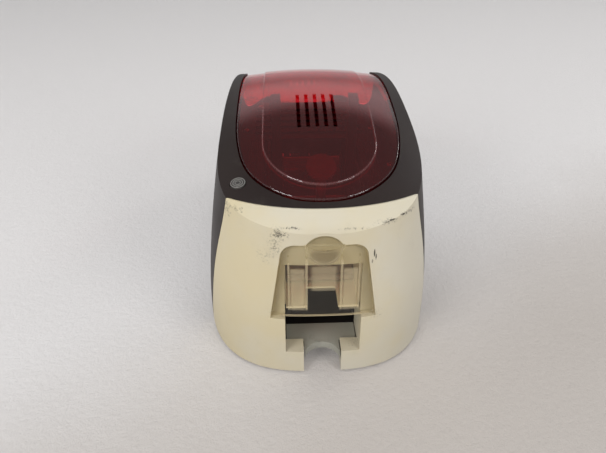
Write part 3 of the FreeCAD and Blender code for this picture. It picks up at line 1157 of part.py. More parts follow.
def build_electronics(outer):
    """Main board on its standoffs, the two connectors and the recessed rear panel."""
    top = BOARD_Z + BOARD_THICKNESS
    board = block(-BOARD_HALF, BOARD_HALF, BOARD_FRONT, BOARD_REAR, BOARD_Z, top)
    standoffs = []
    screws = []
    for depth in (BOARD_FRONT + STANDOFF_INSET, BOARD_REAR - STANDOFF_INSET):
        x = BOARD_HALF - STANDOFF_INSET
        hole = post(SMALL_SCREW_RADIUS + RUNNING_GAP, x, depth, 0, COVER_LOW)
        board = cut_all(board, pair(hole))
        standoffs += pair(post(STANDOFF_RADIUS, x, depth, FLOOR_Z, BOARD_Z).cut(hole))
        screws += pair(pan_head_screw(x, depth, top, -1, SMALL_SCREW_HEAD, SMALL_SCREW_HEIGHT,
                                      SMALL_SCREW_RADIUS, SMALL_SCREW_REACH))
    half = JACK_SIDE / 2
    middle = top + half
    jack = block(JACK_X - half, JACK_X + half, JACK_FRONT, CONNECTOR_REAR, top, top + JACK_SIDE)
    bore = Part.makeCylinder(JACK_BORE, CONNECTOR_REAR - JACK_FRONT - half, point(JACK_X, JACK_FRONT + half, middle),
                             Vector(0, 1, 0))
    pin = Part.makeCylinder(JACK_PIN, CONNECTOR_REAR - JACK_FRONT - half, point(JACK_X, JACK_FRONT + half / 2, middle),
                            Vector(0, 1, 0))
    jack = joined([jack.cut(bore), pin])
    usb = block(USB_X - USB_WIDTH / 2, USB_X + USB_WIDTH / 2, USB_FRONT, CONNECTOR_REAR, top, top + USB_HEIGHT)
    usb = usb.cut(block(USB_X - USB_WIDTH / 2 + USB_WALL, USB_X + USB_WIDTH / 2 - USB_WALL, USB_FRONT + half,
                        CONNECTOR_REAR + USB_WALL, top + USB_WALL, top + USB_HEIGHT - USB_WALL))
    usb_middle = top + USB_HEIGHT / 2
    tongue = block(USB_X - USB_TONGUE[0] / 2, USB_X + USB_TONGUE[0] / 2, USB_FRONT + half / 2,
                   CONNECTOR_REAR - USB_WALL, usb_middle - USB_TONGUE[1] / 2, usb_middle + USB_TONGUE[1] / 2)
    usb = joined([usb, tongue])
    back = BODY_LENGTH + CUT_OVERRUN
    panel = block(-PANEL_HALF, PANEL_HALF, PANEL_DEPTH, back, *PANEL_Z).common(outer)
    inner = block(-PANEL_HALF + PANEL_WALL, PANEL_HALF - PANEL_WALL, PANEL_DEPTH + PANEL_WALL, back,
                  PANEL_Z[0] + PANEL_WALL, PANEL_Z[1] - PANEL_WALL)
    gap = CONNECTOR_GAP
    jack_hole = block(JACK_X - half - gap, JACK_X + half + gap, PANEL_DEPTH, back, top - gap, top + JACK_SIDE + gap)
    usb_hole = block(USB_X - USB_WIDTH / 2 - gap, USB_X + USB_WIDTH / 2 + gap, PANEL_DEPTH, back, top - gap,
                     top + USB_HEIGHT + gap)
    for tool in (inner, jack_hole, usb_hole):
        panel = panel.cut(tool)
    return {"main_board": board, "board_standoffs": Part.makeCompound(standoffs),
            "board_screws": Part.makeCompound(screws), "power_jack": jack, "usb_socket": usb, "rear_panel": panel}


def build_all():
    """Every piece of the printer by name."""
    outer = envelope(0)
    parts = {"body_shell": build_body_shell(outer), "front_fascia": build_fascia(outer), "top_cover": build_cover(),
             "feeder_lid": build_lid(), "cover_latch": build_latch()}
    for group in (build_base(), build_output(), build_chassis(), build_deck(), build_gear_train(), build_rollers(),
                  build_feeder(), build_spools(), build_print_head(), build_button(), build_hinge(),
                  build_electronics(outer)):
        parts.update(group)
    return parts


for name, shape in build_all().items():
    shape.exportStep(f"parts/{name}.step")
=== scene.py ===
"""Looks of a desktop ID card printer: finishes for every solid, added detail, floor, light, camera."""

import json
import logging
import math
from dataclasses import dataclass, field
from enum import Enum
from typing import Any, Iterable

import bmesh
import bpy
from mathutils import Matrix, Vector
from mathutils.bvhtree import BVHTree


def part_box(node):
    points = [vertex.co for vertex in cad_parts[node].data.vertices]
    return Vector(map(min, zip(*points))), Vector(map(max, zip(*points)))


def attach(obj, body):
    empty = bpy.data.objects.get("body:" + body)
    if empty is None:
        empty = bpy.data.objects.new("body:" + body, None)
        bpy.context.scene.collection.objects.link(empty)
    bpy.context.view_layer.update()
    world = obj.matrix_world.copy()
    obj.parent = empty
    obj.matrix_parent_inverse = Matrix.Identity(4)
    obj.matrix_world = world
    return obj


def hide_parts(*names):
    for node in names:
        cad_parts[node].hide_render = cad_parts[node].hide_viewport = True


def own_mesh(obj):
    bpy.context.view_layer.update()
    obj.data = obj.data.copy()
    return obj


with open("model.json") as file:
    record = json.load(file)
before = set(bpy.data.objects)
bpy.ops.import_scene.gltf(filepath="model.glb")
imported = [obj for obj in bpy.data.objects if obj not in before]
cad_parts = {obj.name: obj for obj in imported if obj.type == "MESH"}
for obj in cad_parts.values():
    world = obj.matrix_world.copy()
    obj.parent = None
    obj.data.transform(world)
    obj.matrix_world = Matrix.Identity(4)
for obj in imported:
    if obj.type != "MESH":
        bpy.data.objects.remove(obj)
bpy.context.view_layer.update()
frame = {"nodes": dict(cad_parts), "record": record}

log = logging.getLogger("card_printer")

Colour = tuple[float, float, float]
Triple = tuple[float, float, float]
Pair = tuple[float, float]
Noise = tuple[float, ...]

MM = 0.001
BODY_LENGTH = 380.0

# Geometry, in metres: distance at which vertices are merged, and a height above the whole part.
MERGE_DISTANCE = 0.000001
RAY_HEIGHT = 0.3
BEVEL: dict[str, Any] = {"profile": 0.5, "affect": "EDGES", "material": -1}

# Noises: waves per metre, octaves and, where it isn't the usual one, the strength of the finer octaves.
TONE_NOISE: Noise = (14.0, 4.0)
GRIME_NOISE: Noise = (60.0, 8.0, 0.7)
SHEEN_NOISE: Noise = (35.0, 5.0)
DUST_NOISE: Noise = (28.0, 8.0, 0.65)
VEIL_NOISE: Noise = (24.0, 4.0)
BRUSHED_NOISE: Noise = (90.0, 6.0, 0.7)
METAL_NOISE: Noise = (20.0, 4.0)
BLOOM_NOISE: Noise = (120.0, 6.0, 0.7)
RUBBER_NOISE: Noise = (1500.0, 3.0)
FOAM_NOISE: Noise = (160.0, 6.0, 0.7)
FLOOR_NOISE: Noise = (3.0, 3.0)
SPECK_DETAIL: Pair = (6.0, 0.75)

# Values between which a tone, dirt or dust comes in.
TONE_RANGE: Pair = (0.3, 0.75)
GRIME_RANGE: Pair = (0.55, 0.8)
SPECK_RANGE: Pair = (0.58, 0.74)
PATCH_RANGE: Pair = (0.0, 0.3)
DUST_RANGE: Pair = (0.5, 0.85)
BLOOM_RANGE: Pair = (0.45, 0.8)

# Moulded plastic: height in millimetres up to which the blend towards the dirt colour near the floor reaches,
# and changes of roughness.
LOW_BLEND_TOP = 90.0
SHEEN_SPREAD = 0.12
GRIME_DULLING = 0.2

# See-through plastic: change of roughness, and how sharply its painted highlight lines start and end. The
# rib highlight's core is a share of the half width, and the other three lengths are in millimetres.
VEIL_SPREAD = 0.08
DUST_AND_HIGHLIGHT_GAIN = 5.0
RIB_HIGHLIGHT_CORE = 0.6
RIB_HIGHLIGHT_FADE = 0.5
EDGE_HIGHLIGHT_CORE = 0.2
EDGE_HIGHLIGHT_FADE = 0.9
SCHLICK_POWER = 5.0

# Screw heads: sides, and shares of the head's height or radius.
HEAD_SIDES = 24
HEAD_ROUNDING = 0.45
SOCKET_INSET = 0.22
SOCKET_WAIST = 0.62
SOCKET_DEPTH = 0.5

WHITE: Colour = (1.0, 1.0, 1.0)
BLACKNESS: Colour = (0.0, 0.0, 0.0)


def linear(red: int, green: int, blue: int) -> Colour:
    """Turn an 8-bit display colour into the linear colour that a shader takes.

    Args:
        red: Red, 0 to 255.
        green: Green, 0 to 255.
        blue: Blue, 0 to 255.

    Returns:
        The linear colour.
    """
    def one(value: int) -> float:
        """Linear value of one channel, by the display standard's curve."""
        share = value / 255
        return share / 12.92 if share <= 0.04045 else ((share + 0.055) / 1.055) ** 2.4

    return one(red), one(green), one(blue)


def place(x: float, depth: float, height: float) -> Vector:
    """Point in metres from millimetres across, behind the foremost point of the body, and up.

    Args:
        x: Millimetres to the right of the middle plane.
        depth: Millimetres behind the foremost point of the body.
        height: Millimetres above the floor.

    Returns:
        The point in the row's frame.
    """
    return Vector((x, depth - BODY_LENGTH / 2, height)) * MM


class Wire:
    """A shader socket that does maths with Python operators."""

    def __init__(self, shader: "Nodes", socket: bpy.types.NodeSocket) -> None:
        """Keep the socket and the shader it belongs to."""
        self.shader = shader
        self.socket = socket

    def maths(self, operation: str, *others: Any) -> "Wire":
        """Add a Math node of this wire and others, and return its result."""
        values = {index + 1: other for index, other in enumerate(others)}
        return self.shader.node("ShaderNodeMath", {"operation": operation}, {0: self, **values})

    def __add__(self, other: Any) -> "Wire":
        """Sum."""
        return self.maths("ADD", other)

    __radd__ = __add__

    def __mul__(self, other: Any) -> "Wire":
        """Product."""
        return self.maths("MULTIPLY", other)

    __rmul__ = __mul__

    def __sub__(self, other: Any) -> "Wire":
        """Difference."""
        return self.maths("SUBTRACT", other)

    def __rsub__(self, other: Any) -> "Wire":
        """Difference, the other way round."""
        return self.shader.node("ShaderNodeMath", {"operation": "SUBTRACT"}, {0: other, 1: self})

    def __truediv__(self, other: Any) -> "Wire":
        """Quotient."""
        return self.maths("DIVIDE", other)

    def __pow__(self, other: Any) -> "Wire":
        """Power."""
        return self.maths("POWER", other)

    def most(self, other: Any) -> "Wire":
        """The larger of two values."""
        return self.maths("MAXIMUM", other)

    def least(self, other: Any) -> "Wire":
        """The smaller of two values."""
        return self.maths("MINIMUM", other)

    def ramp(self, low: float, high: float) -> "Wire":
        """Smooth rise from 0 at one value to 1 at another."""
        return self.shader.node("ShaderNodeMapRange", {"interpolation_type": "SMOOTHSTEP"},
                                {0: self, 1: low, 2: high, 3: 0.0, 4: 1.0})


class Nodes:
    """A node tree, written as expressions."""

    def __init__(self, tree: bpy.types.NodeTree) -> None:
        """Keep the tree."""
        self.tree = tree

    def node(self, kind: str, settings: dict[str, Any], inputs: dict[Any, Any], out: int = 0) -> Wire:
        """Add a node, set it up, feed its sockets and return one of its outputs.

        Args:
            kind: Blender's type name of the node.
            settings: Properties of the node, set before its sockets are fed.
            inputs: Values or wires by socket name or index.
            out: Index of the output to return.

        Returns:
            The output as a wire.
        """
        node = self.tree.nodes.new(kind)
        for key, value in settings.items():
            setattr(node, key, value)
        for key, value in inputs.items():
            self.feed(node.inputs[key], value)
        return Wire(self, node.outputs[out])

    def coordinates(self, kind: str) -> Wire:
        """Coordinates of one kind from a new Texture Coordinate node."""
        node = self.tree.nodes.new("ShaderNodeTexCoord")
        return Wire(self, node.outputs[kind])

    def split(self, vector: Wire) -> tuple[Wire, Wire, Wire]:
        """The three parts of a vector."""
        node = self.node("ShaderNodeSeparateXYZ", {}, {0: vector}).socket.node
        return Wire(self, node.outputs[0]), Wire(self, node.outputs[1]), Wire(self, node.outputs[2])

    def feed(self, socket: bpy.types.NodeSocket, value: Any) -> None:
        """Link a wire to a socket, or set the socket to a plain value."""
        if isinstance(value, Wire):
            self.tree.links.new(value.socket, socket)
        elif isinstance(value, (tuple, list)) and len(value) == 3 and socket.type == "RGBA":
            socket.default_value = (*value, 1.0)
        else:
            socket.default_value = value


class Shader(Nodes):
    """A material's node tree, with its object coordinates at hand."""

    def __init__(self, name: str) -> None:
        """Make the material with no shader yet."""
        self.material = bpy.data.materials.new(name)
        self.material.use_nodes = True
        super().__init__(self.material.node_tree)
        self.tree.nodes.clear()
        self.output = self.tree.nodes.new("ShaderNodeOutputMaterial")
        self.point = self.coordinates("Object")
        self.x, self.y, self.z = self.split(self.point)

    def noise(self, scale: float, detail: float = 4.0, roughness: float = 0.55,
              stretch: Triple = (1, 1, 1)) -> Wire:
        """Noise over the object, about 0 to 1.

        Args:
            scale: Waves per metre.
            detail: Octaves.
            roughness: Strength of the finer octaves.
            stretch: Factor on the scale along each axis.

        Returns:
            The noise value.
        """
        moved = self.node("ShaderNodeMapping", {}, {0: self.point, "Scale": stretch})
        return self.node("ShaderNodeTexNoise", {}, {"Vector": moved, "Scale": scale, "Detail": detail,
                                                    "Roughness": roughness})

    def mix(self, factor: Any, first: Any, second: Any) -> Wire:
        """Blend two colours by a factor. Inputs 6 and 7 and output 2 are the node's colour sockets."""
        return self.node("ShaderNodeMix", {"data_type": "RGBA"}, {0: factor, 6: first, 7: second}, out=2)

    def bump(self, height: Wire, depth: float) -> Wire:
        """Normal of a relief whose depth in metres is that of a height from 0 to 1."""
        return self.node("ShaderNodeBump", {}, {"Strength": 1.0, "Distance": depth, "Height": height})

    def near(self, centre: Vector, size: Triple) -> Wire:
        """Soft blob: 1 at a point, falling to 0 at an ellipsoid of the given half sizes in metres."""
        away = self.node("ShaderNodeVectorMath", {"operation": "SUBTRACT"}, {0: self.point, 1: tuple(centre)})
        share = self.node("ShaderNodeVectorMath", {"operation": "DIVIDE"}, {0: away, 1: size})
        length = self.node("ShaderNodeVectorMath", {"operation": "LENGTH"}, {0: share}, out=1)
        return 1 - length.ramp(0.0, 1.0)

    def surface(self, **sockets: Any) -> Wire:
        """Add the principled shader with its sockets given by name, spaces written as underscores."""
        return self.node("ShaderNodeBsdfPrincipled", {},
                         {name.replace("_", " "): value for name, value in sockets.items()})

    def blend(self, factor: Any, first: Wire, second: Wire) -> Wire:
        """Mix two shaders by a factor."""
        return self.node("ShaderNodeMixShader", {}, {0: factor, 1: first, 2: second})

    def finish(self, shader: Wire) -> bpy.types.Material:
        """Join the shader to the output and return the material."""
        self.tree.links.new(shader.socket, self.output.inputs["Surface"])
        return self.material


@dataclass(frozen=True)
class Mark:
    """A smudge, scuff or stain at a place on the object, with its centre as place takes it. In see-through
    plastic it is a patch of haze used as painted shade.

    Its half sizes are in millimetres. The grain is in waves per metre. The fill is how much the specks
    close up towards the middle, or, in see-through plastic, the share of the size over which it fades.
    """

    centre: Triple
    size: Triple
    strength: float
    grain: float = 400.0
    fill: float = 0.25


@dataclass(frozen=True)
class MouldedPlastic:
    """Opaque moulded plastic with a fine texture, uneven tone and marks."""

    name: str
    colour: Colour
    aged: Colour
    # Colour of the dirt, and of the blend near the floor.
    dirt_and_low_colour: Colour = (0.03, 0.025, 0.02)
    roughness: float = 0.45
    grain: float = 1800.0
    grain_depth: float = 0.00004
    dirtiness: float = 0.1
    specular: float = 0.5
    drift: float = 0.0
    low_blend: float = 0.0
    marks: tuple[Mark, ...] = ()

    def build(self) -> bpy.types.Material:
        """Make the material. Its tone drifts from aged at the left to fresh at the right."""
        shader = Shader(self.name)
        tone = (shader.noise(*TONE_NOISE) - shader.x * self.drift).ramp(*TONE_RANGE)
        colour = shader.mix(tone, self.colour, self.aged)
        dirt_and_low_blend = shader.noise(*GRIME_NOISE).ramp(*GRIME_RANGE) * self.dirtiness
        # Blend towards the dirt colour near the floor. On the shell it lightens the lower sides: painted
        # light bounced from the floor, together with dust. On the fascia it makes the plastic darker towards
        # the bottom.
        if self.low_blend:
            dirt_and_low_blend = dirt_and_low_blend + (1 - shader.z.ramp(0.0, LOW_BLEND_TOP * MM)) * self.low_blend
        for mark in self.marks:
            patch = shader.near(place(*mark.centre), tuple(size * MM for size in mark.size))
            specks = (shader.noise(mark.grain, *SPECK_DETAIL) + patch * mark.fill).ramp(*SPECK_RANGE)
            dirt_and_low_blend = dirt_and_low_blend.most(patch.ramp(*PATCH_RANGE) * specks * mark.strength)
        colour = shader.mix(dirt_and_low_blend, colour, self.dirt_and_low_colour)
        rough = shader.noise(*SHEEN_NOISE) * SHEEN_SPREAD + (self.roughness - SHEEN_SPREAD / 2)
        relief = shader.bump(shader.noise(self.grain, 2.0), self.grain_depth)
        return shader.finish(shader.surface(Base_Color=colour, Roughness=rough + dirt_and_low_blend * GRIME_DULLING,
                                            Normal=relief, Specular_IOR_Level=self.specular))


@dataclass(frozen=True)
class RibHighlight:
    """A straight rib or rim whose lighter line in see-through plastic is a painted highlight, on both sides,
    in mm.
    """

    x: float
    half_width: float
    low: float
    high: float
    strength: float


@dataclass(frozen=True)
class EdgeHighlight:
    """Painted highlight along a raised edge: a lighter line of straight sides that end in half an ellipse.

    It is drawn in plan, with its centre in millimetres behind the foremost point of the body, or
    upright, with its centre in millimetres above the floor.
    """

    upright: bool
    centre: float
    half_width: float
    drop: float
    strength: float


@dataclass(frozen=True)
class ClearPlastic:
    """Tinted see-through plastic: what lies behind shows through its tint, haze and dust, under a gloss."""

    name: str
    tint: Colour
    body: Colour
    haze: float
    roughness: float = 0.4
    gloss: float = 0.04
    gloss_roughness: float = 0.08
    dust: float = 0.05
    # Colour of the dust and of the painted highlight lines.
    dust_and_highlight_colour: Colour = (0.5, 0.45, 0.42)
    shade_patches: tuple[Mark, ...] = ()
    # Painted highlights along ribs and rims.
    rib_highlights: tuple[RibHighlight, ...] = ()
    # Painted highlights along raised edges.
    edges: tuple[EdgeHighlight, ...] = ()

    def build(self) -> bpy.types.Material:
        """Make the material."""
        shader = Shader(self.name)
        dust = shader.noise(*DUST_NOISE).ramp(*DUST_RANGE) * self.dust
        # lines holds the dust and the painted highlights along ribs and edges. Where they lie, the plastic
        # takes their colour and is less clear.
        lines = dust
        for highlighted_rib in self.rib_highlights:
            lines = lines.most(self.rib(shader, highlighted_rib))
        for edge in self.edges:
            lines = lines.most(self.edge_highlight(shader, edge))
        haze = dust + self.haze
        # Patches of haze in the body colour: painted shade.
        for patch in self.shade_patches:
            blob = shader.near(place(*patch.centre), tuple(size * MM for size in patch.size))
            haze = haze + blob.ramp(0.0, patch.fill) * patch.strength
        colour = shader.mix((lines * DUST_AND_HIGHLIGHT_GAIN).least(1.0), self.body, self.dust_and_highlight_colour)
        rough = shader.noise(*VEIL_NOISE) * VEIL_SPREAD + self.roughness
        solid = shader.surface(Base_Color=colour, Roughness=rough)
        through = shader.node("ShaderNodeBsdfTransparent", {}, {"Color": self.tint})
        veiled = shader.blend(haze.most(lines).least(1.0), through, solid)
        facing = shader.node("ShaderNodeLayerWeight", {}, {"Blend": 0.5}, out=1)
        shine = shader.node("ShaderNodeBsdfAnisotropic", {},
                            {"Color": WHITE, "Roughness": self.gloss_roughness})
        fresnel = facing ** SCHLICK_POWER * (1 - self.gloss) + self.gloss
        return shader.finish(shader.blend(fresnel, veiled, shine))

    def rib(self, shader: Shader, highlighted_rib: RibHighlight) -> Wire:
        """Painted highlight line of a rib, from 0 to its strength."""
        half_height = (highlighted_rib.high - highlighted_rib.low) / 2 * MM
        across = (shader.x.maths("ABSOLUTE") - highlighted_rib.x * MM).maths("ABSOLUTE")
        along = (shader.z - (highlighted_rib.low + highlighted_rib.high) / 2 * MM).maths("ABSOLUTE")
        band = 1 - across.ramp(highlighted_rib.half_width * MM * RIB_HIGHLIGHT_CORE, highlighted_rib.half_width * MM)
        reach = 1 - along.ramp(half_height - RIB_HIGHLIGHT_FADE * MM, half_height)
        return band * reach * highlighted_rib.strength

    def edge_highlight(self, shader: Shader, edge: EdgeHighlight) -> Wire:
        """Painted highlight line of an edge, from 0 to its strength."""
        along = shader.z - edge.centre * MM if edge.upright else shader.y - place(0.0, edge.centre, 0.0).y
        ahead = along.least(0.0) / (edge.drop * MM)
        across = shader.x / (edge.half_width * MM)
        away = ((across * across + ahead * ahead).maths("SQRT") - 1.0).maths("ABSOLUTE") * (edge.drop * MM)
        return (1 - away.ramp(EDGE_HIGHLIGHT_CORE * MM, EDGE_HIGHLIGHT_FADE * MM)) * edge.strength


@dataclass(frozen=True)
class Metal:
    """Metal sheet or bar with fine brushing along one axis."""

    name: str
    colour: Colour
    roughness: float = 0.32
    brushing: Triple = (1.0, 30.0, 30.0)
    brushing_depth: float = 0.00001
    roughness_spread: float = 0.18
    darkest: float = 0.8

    def build(self) -> bpy.types.Material:
        """Make the material."""
        shader = Shader(self.name)
        lines = shader.noise(*BRUSHED_NOISE, self.brushing)
        dark = tuple(channel * self.darkest for channel in self.colour)
        tone = shader.mix(shader.noise(*METAL_NOISE), self.colour, dark)
        return shader.finish(shader.surface(Base_Color=tone, Metallic=1.0,
                                            Roughness=lines * self.roughness_spread + self.roughness,
                                            Normal=shader.bump(lines, self.brushing_depth)))


@dataclass(frozen=True)
class Rubber:
    """Matte rubber with a dusty bloom."""

    name: str
    colour: Colour
    roughness: float = 0.75
    bloom: float = 0.3
    bloom_gain: float = 3.0
    bloom_lift: float = 0.02
    grain_depth: float = 0.00005

    def build(self) -> bpy.types.Material:
        """Make the material."""
        shader = Shader(self.name)
        bloom = shader.noise(*BLOOM_NOISE).ramp(*BLOOM_RANGE) * self.bloom
        dusty = tuple(channel * self.bloom_gain + self.bloom_lift for channel in self.colour)
        colour = shader.mix(bloom, self.colour, dusty)
        relief = shader.bump(shader.noise(*RUBBER_NOISE), self.grain_depth)
        return shader.finish(shader.surface(Base_Color=colour, Roughness=self.roughness, Normal=relief))


@dataclass(frozen=True)
class Circuit:
    """Circuit board under green varnish, with tracks as a fine relief."""

    name: str
    colour: Colour = (0.012, 0.10, 0.035)
    track_scale: float = 160.0
    track_width: float = 0.03
    track_strength: float = 0.6
    track_gain: float = 2.2
    track_depth: float = 0.00003
    roughness: float = 0.35
    varnish: float = 0.4

    def build(self) -> bpy.types.Material:
        """Make the material."""
        shader = Shader(self.name)
        tracks = shader.node("ShaderNodeTexBrick", {}, {"Vector": shader.point, "Scale": self.track_scale,
                                                        "Mortar Size": self.track_width, "Color1": BLACKNESS,
                                                        "Color2": BLACKNESS, "Mortar": WHITE}, out=1)
        bright = tuple(channel * self.track_gain for channel in self.colour)
        colour = shader.mix(tracks * self.track_strength, self.colour, bright)
        return shader.finish(shader.surface(Base_Color=colour, Roughness=self.roughness,
                                            Coat_Weight=self.varnish,
                                            Normal=shader.bump(tracks, self.track_depth)))


class Finish(Enum):
    """Every finish on the printer."""

    # The shell's lower sides turn lighter towards the floor: painted light bounced from the floor, together
    # with dust.
    SHELL = MouldedPlastic("dark_shell_plastic", linear(35, 26, 24), linear(42, 33, 30),
                           dirt_and_low_colour=linear(130, 122, 114), roughness=0.5, dirtiness=0.08, specular=0.36,
                           low_blend=0.12)
    FASCIA = MouldedPlastic(
        "cream_fascia_plastic", linear(208, 201, 183), linear(209, 196, 162), dirt_and_low_colour=linear(70, 64, 56),
        roughness=0.42, dirtiness=0.08, drift=3.0, low_blend=0.13, marks=(
            Mark((-33.0, 12.7, 133.0), (11.0, 12.0, 9.0), 0.85, 520.0, 0.18),
            Mark((-36.0, 12.7, 124.0), (8.0, 12.0, 14.0), 0.6, 520.0, 0.15),
            Mark((-43.0, 12.7, 114.0), (12.0, 12.0, 13.0), 0.28, 420.0, 0.12),
            Mark((-24.0, 13.5, 137.6), (12.0, 8.0, 1.8), 0.85, 520.0, 0.16),
            Mark((47.0, 17.0, 138.5), (18.0, 12.0, 3.4), 0.9, 560.0, 0.15),
            Mark((62.0, 27.0, 140.5), (15.0, 14.0, 3.4), 0.9, 560.0, 0.15),
            Mark((20.0, 12.5, 136.5), (22.0, 8.0, 1.4), 0.6, 560.0, 0.13),
            Mark((49.5, 17.5, 139.4), (4.5, 6.0, 0.9), 0.95, 900.0, 0.5),
            Mark((58.5, 23.5, 140.6), (2.4, 5.0, 1.2), 0.95, 900.0, 0.5),
            Mark((37.2, 11.6, 115.0), (0.9, 6.0, 4.6), 1.0, 900.0, 0.6),
            Mark((38.6, 11.6, 111.5), (0.8, 6.0, 3.8), 0.9, 900.0, 0.55),
            Mark((36.0, 11.6, 108.0), (0.9, 6.0, 2.6), 0.6, 900.0, 0.5),
            Mark((-72.0, 37.0, 141.0), (7.0, 10.0, 14.0), 0.65, 480.0, 0.14),
            Mark((-64.0, 31.0, 144.0), (14.0, 12.0, 2.6), 0.6, 520.0, 0.15),
            Mark((26.0, 12.0, 22.0), (14.0, 9.0, 8.0), 0.4, 700.0, 0.13),
            Mark((42.0, 8.0, 58.0), (9.0, 10.0, 9.0), 0.45, 560.0, 0.13),
            Mark((-40.0, 8.0, 62.0), (7.0, 8.0, 6.0), 0.35, 560.0, 0.13),
        ))
    # The red cover's line along its raised panel is a painted highlight.
    RED_CLEAR = ClearPlastic("red_see_through_plastic", (0.955, 0.17, 0.21), linear(94, 32, 30), haze=0.12,
                             gloss=0.055, dust_and_highlight_colour=linear(150, 84, 84),
                             edges=(EdgeHighlight(False, 82.4, 44.6, 44.6, 0.24),))
    # The smoke lid's stripes and edge line are painted highlights on its ribs, rims and edges.
    SMOKE_CLEAR = ClearPlastic(
        "smoke_see_through_plastic", (0.956, 0.94, 0.888), linear(104, 88, 68), haze=0.012, roughness=0.5,
        dust=0.02, gloss=0.032, dust_and_highlight_colour=linear(216, 200, 164), shade_patches=(
            # Painted shade in the lid's finger bowl: a patch of haze in the lid's darker body colour.
            Mark((0.0, 1.0, 117.0), (20.0, 9.0, 15.0), 0.22, 0.0, 0.45),),
        rib_highlights=(
            RibHighlight(13.2, 1.1, 66.0, 112.0, 0.34), RibHighlight(26.6, 0.9, 66.0, 108.0, 0.3),
            RibHighlight(20.0, 6.9, 66.0, 104.0, 0.25), RibHighlight(0.0, 12.3, 84.0, 106.0, 0.2),
            RibHighlight(0.0, 13.6, 124.0, 125.0, 0.35), RibHighlight(0.0, 42.0, 60.0, 61.3, 0.5)),
        edges=(EdgeHighlight(True, 125.0, 14.2, 18.0, 0.3),))
    GREY_CLEAR = ClearPlastic("grey_see_through_plastic", (0.7, 0.7, 0.7), linear(88, 85, 82), haze=0.5)
    # Paler than the button's see-through plastic: painted highlights on the button's rings.
    HIGHLIGHT_RING_CLEAR = ClearPlastic("highlight_ring_plastic", (0.9, 0.9, 0.9), linear(150, 147, 142), haze=0.6)
    GREY = MouldedPlastic("grey_tray_plastic", linear(150, 149, 140), linear(160, 158, 146), dirtiness=0.3)
    BLACK = MouldedPlastic("black_inner_plastic", linear(24, 22, 22), linear(32, 29, 28),
                           dirt_and_low_colour=linear(80, 74, 68), roughness=0.6, specular=0.2)
    PUSHER = MouldedPlastic("taupe_pusher_plastic", linear(150, 135, 118), linear(140, 126, 112),
                            dirtiness=0.2)
    CHIP = MouldedPlastic("chip_resin", linear(30, 30, 32), linear(36, 36, 38), roughness=0.6, grain=4000.0)
    SOCKET_WHITE = MouldedPlastic("white_socket_plastic", linear(220, 218, 208), linear(210, 206, 190))
    # Lighter than the fascia's cream: painted light on the feeder bin, which lies behind the smoke lid.
    LIT_CREAM_INNER = MouldedPlastic("lit_cream_inner_plastic", linear(232, 222, 194), linear(226, 212, 178))
    GEAR_WHITE = MouldedPlastic("white_gear_plastic", linear(226, 224, 214), linear(216, 212, 196),
                                dirtiness=0.2)
    FILM = ClearPlastic("colour_film", (0.6, 0.2, 0.3), linear(70, 20, 36), haze=0.7)
    # Steel darkened as painted shade for the chassis and card guide in the bay under the cover.
    SHADED_STEEL = Metal("shaded_steel", linear(58, 57, 58), 0.5)
    LATCH = MouldedPlastic("grey_latch_plastic", linear(68, 64, 64), linear(62, 58, 57))
    STEEL = Metal("brushed_steel", linear(176, 176, 178))
    HEAD_METAL = Metal("cast_head_metal", linear(190, 190, 194), 0.42)
    BRASS = Metal("sintered_bronze", linear(176, 142, 84), 0.38)
    FOOT = Rubber("foot_rubber", linear(34, 33, 33))
    ROLLER = Rubber("roller_rubber", linear(52, 52, 55), 0.6)
    BOARD = Circuit("green_board")


SLOT_FINISH = {
    "dark_shell": Finish.SHELL, "cream": Finish.FASCIA, "red_clear": Finish.RED_CLEAR,
    "smoke_clear": Finish.SMOKE_CLEAR, "grey_clear": Finish.GREY_CLEAR, "grey": Finish.GREY,
    "black": Finish.BLACK, "foot": Finish.FOOT, "roller_rubber": Finish.ROLLER, "steel": Finish.STEEL,
    "head_metal": Finish.HEAD_METAL, "gear_white": Finish.GEAR_WHITE, "bushing": Finish.BRASS,
    "board": Finish.BOARD, "film": Finish.FILM,
}
# The chassis and card guide take the darkened steel, and the spools the black plastic, as painted shade in
# the bay under the cover.
NODE_FINISH = {
    "feeder_bin": Finish.LIT_CREAM_INNER, "card_pusher": Finish.PUSHER, "chassis": Finish.SHADED_STEEL,
    "card_guide": Finish.SHADED_STEEL, "supply_spool": Finish.BLACK, "takeup_spool": Finish.BLACK,
    "cover_latch": Finish.LATCH,
}


